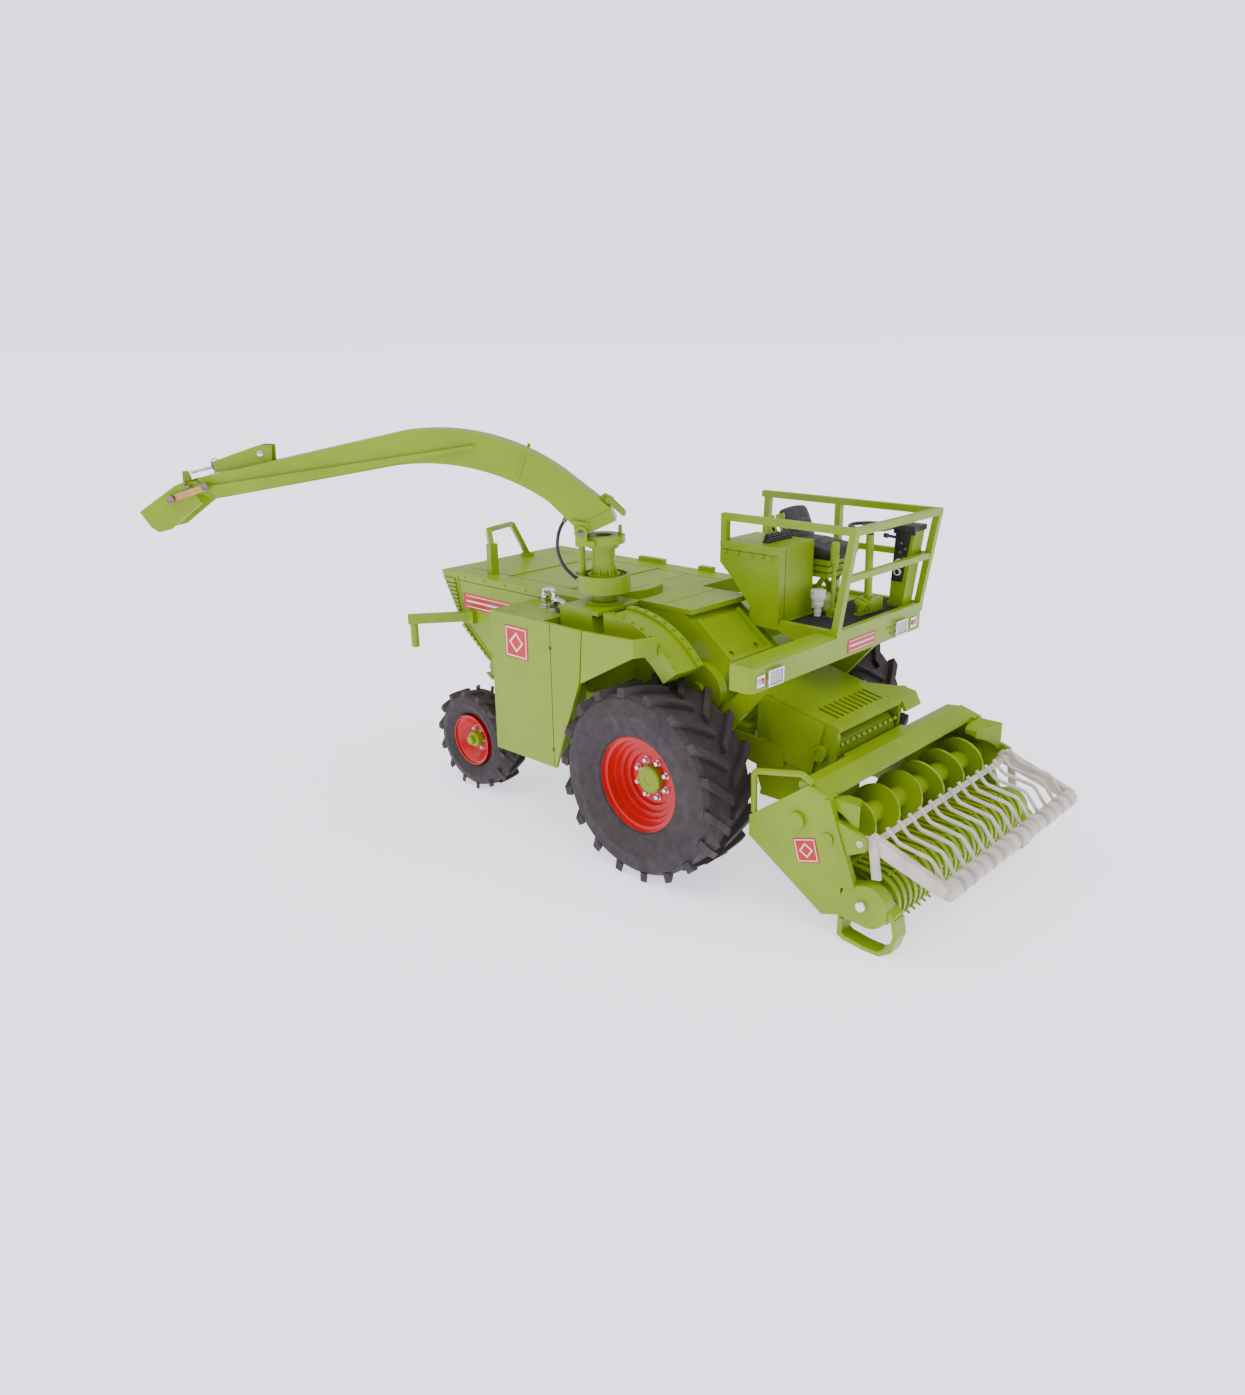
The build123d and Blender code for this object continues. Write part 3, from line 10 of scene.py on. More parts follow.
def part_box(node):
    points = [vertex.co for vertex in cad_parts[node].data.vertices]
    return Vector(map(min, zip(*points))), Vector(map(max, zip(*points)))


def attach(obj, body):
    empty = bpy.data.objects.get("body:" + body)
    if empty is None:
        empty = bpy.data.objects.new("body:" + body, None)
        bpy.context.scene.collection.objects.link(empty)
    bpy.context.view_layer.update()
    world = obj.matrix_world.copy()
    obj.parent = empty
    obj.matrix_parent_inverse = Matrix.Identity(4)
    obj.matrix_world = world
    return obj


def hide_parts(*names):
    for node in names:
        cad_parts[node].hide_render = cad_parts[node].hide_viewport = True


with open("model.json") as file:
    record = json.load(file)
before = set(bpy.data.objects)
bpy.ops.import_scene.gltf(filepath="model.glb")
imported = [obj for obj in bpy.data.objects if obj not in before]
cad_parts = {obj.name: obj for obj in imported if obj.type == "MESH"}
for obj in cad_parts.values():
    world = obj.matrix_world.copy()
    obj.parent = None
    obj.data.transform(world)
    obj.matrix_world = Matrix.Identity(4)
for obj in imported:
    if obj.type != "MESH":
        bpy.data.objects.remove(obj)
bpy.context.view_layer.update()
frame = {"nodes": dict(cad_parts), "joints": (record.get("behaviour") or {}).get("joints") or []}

bl_info = {
    "name": "Forage Harvester Model",
    "version": (1, 0, 0),
    "blender": (4, 5, 0),
    "location": "3D View > Sidebar > Harvester",
    "description": "Finishes and small fittings of a scale model forage harvester",
    "category": "Object",
}

MM = 0.001
X, Y, Z = 0, 1, 2
NEAR, FAR = 0, 1                                # lower and upper end of a box
SIDES = ((-1, "right"), (1, "left"))
JOINTS = {joint["name"]: joint for joint in frame["joints"]}
AXLE = Vector(JOINTS["front_wheel_right_spin"]["pos_m"])
DATUM = Vector((AXLE.x, AXLE.y, 0.0))           # on the ground under the front axle
TOWER = Vector(JOINTS["spout_swing"]["pos_m"])
TILT = Vector(JOINTS["spout_tilt"]["axis"]).normalized()
OUT = Vector((-TILT.y, TILT.x, 0.0))            # level, from the tower towards the spout's tail


def at(x, y, z):
    """A point given in millimetres from the ground under the front axle."""
    return DATUM + Vector((x, y, z)) * MM


def face_of(node, axis, far):
    """Where a node's box ends along an axis, in millimetres from the datum; far picks the upper end."""
    return (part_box(node)[far][axis] - DATUM[axis]) / MM


def on_spout(back, side, z):
    """A point of the spout: millimetres behind the tower axis, to its left, and above the ground."""
    return Vector((TOWER.x, TOWER.y, 0.0)) + (OUT * back + TILT * side + Vector((0, 0, z))) * MM


# ---------------------------------------------------------------- materials


def linear(rgb):
    """Linear values of a display colour, each from 0 to 1."""
    return tuple(v / 12.92 if v <= 0.04045 else ((v + 0.055) / 1.055) ** 2.4 for v in rgb)


class Finish:
    """A Principled material and short ways to build its node tree."""

    def __init__(self, name, rough=0.5, metal=0.0, coat=0.0, sheen=0.0):
        self.mat = bpy.data.materials.new(name)
        self.mat.use_nodes = True
        self.nodes = self.mat.node_tree.nodes
        self.links = self.mat.node_tree.links
        self.bsdf = self.nodes["Principled BSDF"]
        self.bsdf.inputs["Roughness"].default_value = rough
        self.bsdf.inputs["Metallic"].default_value = metal
        self.bsdf.inputs["Coat Weight"].default_value = coat
        self.bsdf.inputs["Coat Roughness"].default_value = 0.08
        self.bsdf.inputs["Sheen Weight"].default_value = sheen
        self.where = self.nodes.new("ShaderNodeTexCoord").outputs["Object"]

    def noise(self, size_mm, detail=3.0, rough=0.5):
        """Noise whose grains are about size_mm across."""
        node = self.nodes.new("ShaderNodeTexNoise")
        node.inputs["Scale"].default_value = 1.0 / (size_mm * MM)
        node.inputs["Detail"].default_value = detail
        node.inputs["Roughness"].default_value = rough
        self.links.new(self.where, node.inputs["Vector"])
        return node.outputs["Fac"]

    def cells(self, size_mm, feature="F1"):
        """Voronoi distance with cells about size_mm across."""
        node = self.nodes.new("ShaderNodeTexVoronoi")
        node.feature = feature
        node.inputs["Scale"].default_value = 1.0 / (size_mm * MM)
        self.links.new(self.where, node.inputs["Vector"])
        return node.outputs["Distance"]

    def span(self, value, low, high, to_low=0.0, to_high=1.0):
        """value carried from low..high to to_low..to_high, held at the ends."""
        node = self.nodes.new("ShaderNodeMapRange")
        for key, number in zip(("From Min", "From Max", "To Min", "To Max"), (low, high, to_low, to_high)):
            node.inputs[key].default_value = number
        self.links.new(value, node.inputs["Value"])
        return node.outputs["Result"]

    def mix(self, fac, a, b):
        """Colour between a and b, each a colour or an output."""
        node = self.nodes.new("ShaderNodeMix")
        node.data_type = "RGBA"
        self.links.new(fac, node.inputs[0])
        for socket, value in ((node.inputs[6], a), (node.inputs[7], b)):
            if isinstance(value, tuple):
                socket.default_value = (*value, 1.0)
            else:
                self.links.new(value, socket)
        return node.outputs[2]

    def colour(self, value):
        if isinstance(value, tuple):
            self.bsdf.inputs["Base Color"].default_value = (*value, 1.0)
        else:
            self.links.new(value, self.bsdf.inputs["Base Color"])

    def roughness(self, value):
        self.links.new(value, self.bsdf.inputs["Roughness"])

    def bump(self, height, depth_mm, strength=1.0, below=None):
        """Adds a bump of that depth over an earlier one."""
        node = self.nodes.new("ShaderNodeBump")
        node.inputs["Distance"].default_value = depth_mm * MM
        node.inputs["Strength"].default_value = strength
        self.links.new(height, node.inputs["Height"])
        if below:
            self.links.new(below, node.inputs["Normal"])
        self.links.new(node.outputs["Normal"], self.bsdf.inputs["Normal"])
        return node.outputs["Normal"]


def tint(rgb, factor):
    """The linear colour rgb made darker or paler."""
    return tuple(min(1.0, v * factor) for v in rgb)


def enamel(name, rgb, rough=0.38, coat=0.12):
    """Sprayed model enamel: slight orange peel, faint mottling and dust specks."""
    f = Finish(name, rough, coat=coat)
    f.bsdf.inputs["Specular IOR Level"].default_value = 0.3
    base = linear(rgb)
    mottled = f.mix(f.span(f.noise(14, 4), 0.35, 0.65), tint(base, 0.92), tint(base, 1.07))
    specks = f.span(f.noise(0.45, 2), 0.68, 0.74)
    f.colour(f.mix(specks, mottled, tint(base, 1.22)))
    f.roughness(f.span(f.noise(3.0, 4), 0.3, 0.7, rough - 0.06, rough + 0.08))
    peel = f.bump(f.noise(0.55, 2), 0.02, 0.35)
    f.bump(f.noise(5.0, 2), 0.05, 0.25, peel)
    return f.mat


def tyre_rubber(name, rgb):
    """Soft model tyre: matt, faintly mottled, with a fine moulded grain."""
    f = Finish(name, 0.72)
    base = linear(rgb)
    worn = f.mix(f.span(f.noise(6, 5, 0.6), 0.35, 0.7), tint(base, 0.8), tint(base, 1.25))
    f.colour(f.mix(f.span(f.noise(0.8, 3), 0.66, 0.76), worn, tint(base, 1.7)))
    f.roughness(f.span(f.noise(2.0, 3), 0.3, 0.7, 0.6, 0.82))
    f.bump(f.noise(0.3, 3), 0.03, 0.5)
    return f.mat


def moulded(name, rgb, rough=0.5, grain_mm=0.35, depth_mm=0.02):
    """Moulded plastic with a fine texture and uneven gloss."""
    f = Finish(name, rough)
    base = linear(rgb)
    f.colour(f.mix(f.span(f.noise(5, 4), 0.35, 0.65), tint(base, 0.85), tint(base, 1.15)))
    f.roughness(f.span(f.noise(1.5, 3), 0.3, 0.7, rough - 0.08, rough + 0.1))
    f.bump(f.noise(grain_mm, 3), depth_mm, 0.4)
    return f.mat


def vinyl(name, rgb):
    """Moulded seat plastic with a leathery cell grain."""
    f = Finish(name, 0.5, sheen=0.1)
    base = linear(rgb)
    cells = f.cells(0.5, "DISTANCE_TO_EDGE")
    f.colour(f.mix(f.span(cells, 0.0, 0.2), tint(base, 0.55), tint(base, 1.15)))
    f.roughness(f.span(f.noise(2.5, 3), 0.3, 0.7, 0.38, 0.58))
    fine = f.bump(f.span(cells, 0.0, 0.16), 0.03, 0.6)
    f.bump(f.noise(1.8, 3), 0.06, 0.4, fine)
    return f.mat


def metal(name, rgb, rough=0.25, streak_mm=1.2):
    """Plated or turned metal with fine uneven polish."""
    f = Finish(name, rough, metal=1.0)
    base = linear(rgb)
    f.colour(f.mix(f.span(f.noise(2.2, 4), 0.3, 0.7), tint(base, 0.85), tint(base, 1.08)))
    f.roughness(f.span(f.noise(streak_mm, 4), 0.3, 0.7, max(0.03, rough - 0.1), rough + 0.12))
    f.bump(f.noise(0.4, 2), 0.008, 0.3)
    return f.mat


def lens(name, rgb, rough=0.18, depth_mm=0.06):
    """Moulded lens with fine flutes behind a glossy face."""
    f = Finish(name, rough, coat=0.6)
    base = linear(rgb)
    wave = f.nodes.new("ShaderNodeTexWave")
    wave.bands_direction = "Y"
    wave.inputs["Scale"].default_value = 0.32 / MM
    f.links.new(f.where, wave.inputs["Vector"])
    f.colour(f.mix(wave.outputs["Fac"], tint(base, 0.72), tint(base, 1.12)))
    f.bump(wave.outputs["Fac"], depth_mm, 0.5)
    return f.mat


# ---------------------------------------------------------------- mesh building


def across_frame(axis):
    """Two directions square to axis."""
    axis = Vector(axis).normalized()
    aside = axis.cross(Vector((0, 0, 1)) if abs(axis.z) < 0.9 else Vector((1, 0, 0))).normalized()
    return axis, aside, axis.cross(aside)


class Build:
    """Collects the mesh of one piece; every size is in millimetres, every point in metres."""

    def __init__(self):
        self.bm = bmesh.new()

    def ring(self, centre, aside, up, radius, steps):
        turn = 2 * math.pi / steps
        return [self.bm.verts.new(centre + (aside * math.cos(turn * i) + up * math.sin(turn * i)) * radius)
                for i in range(steps)]

    def join(self, one, two):
        for i in range(len(one)):
            j = (i + 1) % len(one)
            self.bm.faces.new((one[i], one[j], two[j], two[i]))

    def lathe(self, start, axis, profile, steps=40):
        """Solid turned about axis: profile is (radius, distance along the axis)."""
        axis, aside, up = across_frame(axis)
        rings = []
        for radius, along in profile:
            centre = start + axis * along * MM
            rings.append(self.ring(centre, aside, up, max(radius, 0.001) * MM, steps))
        for one, two in zip(rings, rings[1:]):
            self.join(one, two)
        if profile[0] == profile[-1]:
            bmesh.ops.remove_doubles(self.bm, verts=rings[0] + rings[-1], dist=1e-8)
        else:
            self.bm.faces.new(reversed(rings[0]))
            self.bm.faces.new(rings[-1])
        return self

    def tube(self, points, radius, steps=14, closed=False):
        """Round tube along points."""
        count = len(points)
        rings = []
        aside = None
        for i, point in enumerate(points):
            before = points[i - 1] if closed or i else point
            after = points[(i + 1) % count] if closed or i < count - 1 else point
            along = (after - before).normalized()
            if aside is None:
                _, aside, _ = across_frame(along)
            aside = (aside - along * aside.dot(along)).normalized()
            rings.append(self.ring(point, aside, along.cross(aside), radius * MM, steps))
        for one, two in zip(rings, rings[1:]):
            self.join(one, two)
        if closed:
            self.join(rings[-1], rings[0])
        else:
            self.bm.faces.new(reversed(rings[0]))
            self.bm.faces.new(rings[-1])
        return self

    def slab(self, corners, push):
        """Flat outline pushed along a vector, both in metres."""
        low = [self.bm.verts.new(corner) for corner in corners]
        high = [self.bm.verts.new(corner + push) for corner in corners]
        self.join(low, high)
        self.bm.faces.new(reversed(low))
        self.bm.faces.new(high)
        return self

    def box(self, low, high):
        """Upright box between two points."""
        corners = [Vector((x, y, low.z)) for x, y in
                   ((low.x, low.y), (high.x, low.y), (high.x, high.y), (low.x, high.y))]
        return self.slab(corners, Vector((0, 0, high.z - low.z)))

    def done(self, name, key, body, bevel=0.0, smooth=35, slot=None):
        """Makes the object, gives it its finish and body, and rounds its edges by bevel mm; slot is not
        used.
        """
        bmesh.ops.recalc_face_normals(self.bm, faces=self.bm.faces)
        mesh = bpy.data.meshes.new(name)
        self.bm.to_mesh(mesh)
        self.bm.free()
        piece = bpy.data.objects.new(name, mesh)
        bpy.context.scene.collection.objects.link(piece)
        piece.data.materials.append(finish(key))
        soften(piece, smooth, bevel)
        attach(piece, body)
        return piece


def soften(piece, smooth=35, bevel=0.0):
    """Shades a piece smooth up to that angle and rounds sharper edges by bevel mm."""
    mesh = piece.data
    mesh.polygons.foreach_set("use_smooth", [True] * len(mesh.polygons))
    mesh.set_sharp_from_angle(angle=math.radians(smooth))
    if bevel:
        edge = piece.modifiers.new("rounded edges", "BEVEL")
        edge.width = bevel * MM
        edge.segments = 2
        edge.limit_method = "ANGLE"
        edge.angle_limit = math.radians(smooth)
        edge.harden_normals = True


def hexagon_head(build, start, axis, radius, height):
    """Hexagon bolt head with a chamfered top on a washer."""
    build.lathe(start, axis, [(radius * 1.25, 0), (radius * 1.25, height * 0.2)], 20)
    build.lathe(start + Vector(axis).normalized() * height * 0.2 * MM, axis,
                [(radius, 0), (radius, height * 0.65), (radius * 0.78, height * 0.8)], 6)


def bend(points, radius, steps=6):
    """Points with their inner corners rounded to radius mm."""
    path = [points[0]]
    for before, corner, after in zip(points, points[1:], points[2:]):
        into, out = (corner - before), (after - corner)
        turn = into.angle(out)
        reach = min(radius * MM * math.tan(turn / 2), 0.49 * into.length, 0.49 * out.length)
        start, end = corner - into.normalized() * reach, corner + out.normalized() * reach
        for i in range(steps + 1):
            t = i / steps
            path.append(start.lerp(corner, t).lerp(corner.lerp(end, t), t))
    path.append(points[-1])
    return path


# ---------------------------------------------------------------- settings


def colour_setting(name, description, *display):
    """A colour a user can change, given as 0 to 255 display values."""
    return bpy.props.FloatVectorProperty(
        name=name, description=description, subtype="COLOR_GAMMA", size=3, min=0.0, max=1.0,
        default=tuple(v / 255 for v in display))


def length_setting(name, description, size_mm):
    """A length a user can change, given in millimetres."""
    return bpy.props.FloatProperty(
        name=name, description=description, subtype="DISTANCE", unit="LENGTH", min=0.0,
        precision=5, default=size_mm * MM)


class HarvesterColours(bpy.types.PropertyGroup):
    """Colours of the model's finishes."""

    green: colour_setting("Body green", "Enamel of the body, header and spout", 130, 158, 0)
    red: colour_setting("Wheel red", "Enamel of the wheel rims and badges", 196, 0, 6)
    tyre: colour_setting("Tyre", "Soft tyre", 50, 42, 42)
    guard: colour_setting("Wind guard", "Pale moulded wind guard", 205, 197, 184)
    seat: colour_setting("Seat", "Moulded seat", 34, 28, 29)
    black: colour_setting("Black", "Boots, dials, hoses and steering wheel", 26, 25, 27)
    white: colour_setting("White", "Filter bowl and badge marks", 226, 224, 218)
    chrome: colour_setting("Bright metal", "Filler pipes and wheel bolts", 222, 222, 226)
    bronze: colour_setting("Link bronze", "Flap links", 188, 146, 92)
    steel: colour_setting("Dark steel", "Flap cylinder and screws", 120, 116, 112)
    amber: colour_setting("Amber", "Indicator and rear lamps", 226, 96, 24)
    glass: colour_setting("Lamp glass", "Headlamp lenses", 176, 178, 184)
    floor: colour_setting("Floor", "Studio floor and backdrop", 243, 240, 252)


class HarvesterSizes(bpy.types.PropertyGroup):
    """Sizes of the small fittings."""

    casting_edge: length_setting("Casting edge", "Rounding of the cast pieces' edges", 0.16)
    front_bolt: length_setting("Front bolt", "Across-corner radius of a front wheel bolt", 0.72)
    front_bolt_circle: length_setting("Front bolt circle", "Radius of the front bolts' circle", 4.9)
    rear_bolt: length_setting("Rear bolt", "Across-corner radius of a rear wheel bolt", 0.46)
    rear_bolt_circle: length_setting("Rear bolt circle", "Radius of the rear bolts' circle", 3.1)
    sidewall_ring: length_setting("Sidewall ring", "Radius of the front sidewall's moulded ring", 18.9)
    badge: length_setting("Badge", "Thickness of a printed badge", 0.12)
    rivet: length_setting("Rivet", "Radius of a rivet head", 0.42)


def colours():
    return bpy.context.scene.harvester_colours


def size(name):
    """One of the settings, in millimetres."""
    return getattr(bpy.context.scene.harvester_sizes, name) / MM


FINISHES = {}


def finish(key):
    """The finish of that name, made when it is first asked for."""
    if key not in FINISHES:
        c = colours()
        makers = {
            "green": lambda: enamel("body green enamel", c.green),
            # painted shade: the body green at half brightness, for the shade in the shut lines and grille
            # slots
            "seam": lambda: enamel("painted groove shade green", tuple(v * 0.5 for v in c.green), 0.6, 0.0),
            "red": lambda: enamel("wheel red enamel", c.red, 0.34, 0.2),
            "tyre": lambda: tyre_rubber("tyre", c.tyre),
            "guard": lambda: moulded("wind guard plastic", c.guard, 0.48, 0.5, 0.02),
            "seat": lambda: vinyl("seat moulding", c.seat),
            "black": lambda: moulded("black plastic", c.black, 0.4),
            "mat": lambda: moulded("floor mat rubber", c.black, 0.75, 0.6, 0.08),
            "hose": lambda: moulded("hose rubber", c.black, 0.34, 0.4),
            "white": lambda: moulded("white plastic", c.white, 0.42),
            "chrome": lambda: metal("bright plating", c.chrome, 0.14),
            "bolt": lambda: metal("bolt plating", c.chrome, 0.28),
            "bronze": lambda: metal("link bronze", c.bronze, 0.34),
            "steel": lambda: metal("dark steel", c.steel, 0.26),
            "amber": lambda: lens("amber lens", c.amber),
            "glass": lambda: lens("headlamp glass", c.glass, 0.22),
        }
        FINISHES[key] = makers[key]()
    return FINISHES[key]


# ---------------------------------------------------------------- operators

NODE_FINISHES = {
    "front_tyre": "tyre", "rear_tyre": "tyre", "front_rim": "red", "rear_rim": "red",
    "wind_guard": "guard", "floor_mat": "mat", "spout_hose": "hose", "panel_face": "black",
    "steering_wheel": "black", "floor_filter": "white", "filler_pipes": "chrome",
    "headlamps": "chrome", "indicator_lamps": "chrome", "flap_links": "bronze",
    "flap_cylinder": "steel", "flap_rod": "chrome", "seat": "seat", "instrument_panel": "green",
}
SHARP_NODES = ("front_tyre", "rear_tyre", "auger", "tine_drum", "stripper_bands", "spout_hose")


class HARVESTER_OT_castings(bpy.types.Operator):
    """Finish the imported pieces: enamel, rubber, plastic and plating, with softened edges"""

    bl_idname = "harvester.castings"
    bl_label = "Finish the castings"

    def execute(self, context):
        for name, node in frame["nodes"].items():
            kind = name.removesuffix("_right").removesuffix("_left")
            mat = finish(NODE_FINISHES.get(kind, "green"))
            if not node.data.materials:
                node.data.materials.append(mat)
            for index in range(len(node.data.materials)):
                node.data.materials[index] = mat
            soften(node, 32, 0.0 if kind in SHARP_NODES else size("casting_edge"))
        return {"FINISHED"}


class HARVESTER_OT_wheels(bpy.types.Operator):
    """Add wheel bolts, hub covers and the tyres' moulded sidewall rings"""

    bl_idname = "harvester.wheels"
    bl_label = "Fit the wheels' details"

    def execute(self, context):
        for side, name in SIDES:
            out = Vector((0, side, 0))
            self.front(name, out)
            self.rear(name, out)
        return {"FINISHED"}

    def front(self, name, out):
        body = "front_wheel_" + name
        low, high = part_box("front_hub_cap_" + name)
        cap = Vector((AXLE.x, high.y if out.y > 0 else low.y, AXLE.z))
        bolts = Build()
        for i in range(8):
            turn = math.radians(45 * i + 22.5)
            place = Vector((math.cos(turn), 0, math.sin(turn))) * size("front_bolt_circle") * MM
            hexagon_head(bolts, cap + place - out * 1.62 * MM, out, size("front_bolt"), 1.15)
        bolts.done("front_wheel_bolts_" + name, "bolt", body, 0.04)
        low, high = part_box("front_tyre_" + name)
        wall = Vector((AXLE.x, high.y if out.y > 0 else low.y, AXLE.z))
        rings = Build()
        for radius, proud, width in ((size("sidewall_ring"), 0.9, 0.35), (14.2, 1.5, 0.3)):
            rings.lathe(wall - out * proud * MM, out,
                        [(radius - width, -0.3), (radius - width * 0.4, 0.12), (radius + width * 0.4, 0.12),
                         (radius + width, -0.3), (radius - width, -0.3)], 96)
        rings.done("front_sidewall_rings_" + name, "tyre", body)
        crown = Build()
        crown.lathe(cap, out,
                    [(3.3, -0.1), (3.3, 0.12), (2.7, 0.3), (1.2, 0.36), (1.1, 0.2), (0.0, 0.2)], 40)
        crown.done("front_hub_crown_" + name, "green", body, 0.04)

    def rear(self, name, out):
        body = "rear_wheel_" + name
        low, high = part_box("rear_rim_" + name)
        centre = (low + high) / 2
        tip = Vector((centre.x, high.y if out.y > 0 else low.y, centre.z))
        hub = Build()
        hub.lathe(tip, out, [(2.5, -3.5), (2.5, -3.3), (2.3, -1.5), (1.9, -1.2), (1.35, -1.1), (1.3, -0.1),
                             (1.1, 0.12), (0.0, 0.12)], 40)
        hub.done("rear_hub_cover_" + name, "green", body, 0.05)
        bolts = Build()
        for i in range(6):
            turn = math.radians(60 * i)
            place = Vector((math.cos(turn), 0, math.sin(turn))) * size("rear_bolt_circle") * MM
            hexagon_head(bolts, tip + place - out * 3.62 * MM, out, size("rear_bolt"), 0.85)
        bolts.done("rear_wheel_bolts_" + name, "bolt", body, 0.03)
        low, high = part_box("rear_tyre_" + name)
        wall = Vector((centre.x, high.y if out.y > 0 else low.y, centre.z))
        ring = Build()
        ring.lathe(wall - out * 0.5 * MM, out,
                   [(10.6, -0.3), (10.8, 0.1), (11.1, 0.1), (11.3, -0.3), (10.6, -0.3)], 72)
        ring.done("rear_sidewall_ring_" + name, "tyre", body)


def badge(name, corners, outward, body):
    """Printed plate on a side: a red ground with a white border and a white diamond."""
    thick = size("badge") * MM
    plate = Build()
    plate.slab(corners, outward * thick)
    plate.done(name + "_ground", "red", body, 0.03)
    centre = sum(corners, Vector()) / len(corners)
    marks = Build()

    def band(outer, inner):
        for i in range(len(outer)):
            j = (i + 1) % len(outer)
            marks.slab([outer[i], outer[j], inner[j], inner[i]], outward * thick * 0.35)

    lifted = [corner + outward * thick for corner in corners]
    centre = centre + outward * thick
    inset = [[centre.lerp(corner, share) for corner in lifted] for share in (0.9, 0.82)]
    band(*inset)
    middles = [(lifted[i] + lifted[(i + 1) % 4]) / 2 for i in range(4)]
    diamonds = [[centre.lerp(middle, share) for middle in middles] for share in (0.62, 0.46)]
    band(*diamonds)
    marks.done(name + "_marks", "white", body)


def stripe(name, corners, outward, body):
    """Printed strip: a red ground with a fine white border and a white centre line."""
    thick = size("badge") * MM
    plate = Build()
    plate.slab(corners, outward * thick)
    plate.done(name + "_ground", "red", body, 0.03)
    low, far, high, near = (corner + outward * thick for corner in corners)
    marks = Build()
    for start, end in ((0.1, 0.16), (0.44, 0.56), (0.84, 0.9)):
        edge = [low.lerp(near, start), far.lerp(high, start), far.lerp(high, end), low.lerp(near, end)]
        inner = [edge[0].lerp(edge[1], 0.05), edge[0].lerp(edge[1], 0.95),
                 edge[3].lerp(edge[2], 0.95), edge[3].lerp(edge[2], 0.05)]
        marks.slab(inner, outward * thick * 0.35)
    marks.done(name + "_lines", "white", body)


def upright_plate(x0, x1, y, z0, z1):
    """Corners of a plate that stands along X at that side."""
    return [at(x0, y, z0), at(x1, y, z0), at(x1, y, z1), at(x0, y, z1)]


class HARVESTER_OT_badges(bpy.types.Operator):
    """Put plain generic badges and strips where the machine carries its markings"""

    bl_idname = "harvester.badges"
    bl_label = "Put on the badges"

    def execute(self, context):
        right = Vector((0, -1, 0))
        left = -right
        tank = face_of("side_tank", Y, NEAR)
        badge("tank_badge", upright_plate(-46.4, -37.6, tank, 49.4, 58.2), right, "chassis")
        side = face_of("header_sides", Y, NEAR)
        header = [at(42.6, side + 0.9, 15.8), at(48.4, side + 0.9, 17.6), at(46.8, side + 0.9, 23.2),
                  at(41.0, side + 0.9, 21.4)]
        badge("header_badge", header, right, "intake")
        hood = face_of("engine_hood", Y, NEAR)
        stripe("hood_strip_right", upright_plate(-85.0, -56.0, hood, 53.4, 57.8), right, "chassis")
        hood = face_of("engine_hood", Y, FAR)
        stripe("hood_strip_left", upright_plate(-85.0, -56.0, hood, 53.4, 57.8), left, "chassis")
        bar = face_of("headlamps", X, NEAR)
        front = [at(bar, 1.2, 54.4), at(bar, 14.0, 54.4), at(bar, 14.0, 57.8), at(bar, 1.2, 57.8)]
        stripe("lamp_bar_strip", front, Vector((1, 0, 0)), "chassis")
        return {"FINISHED"}


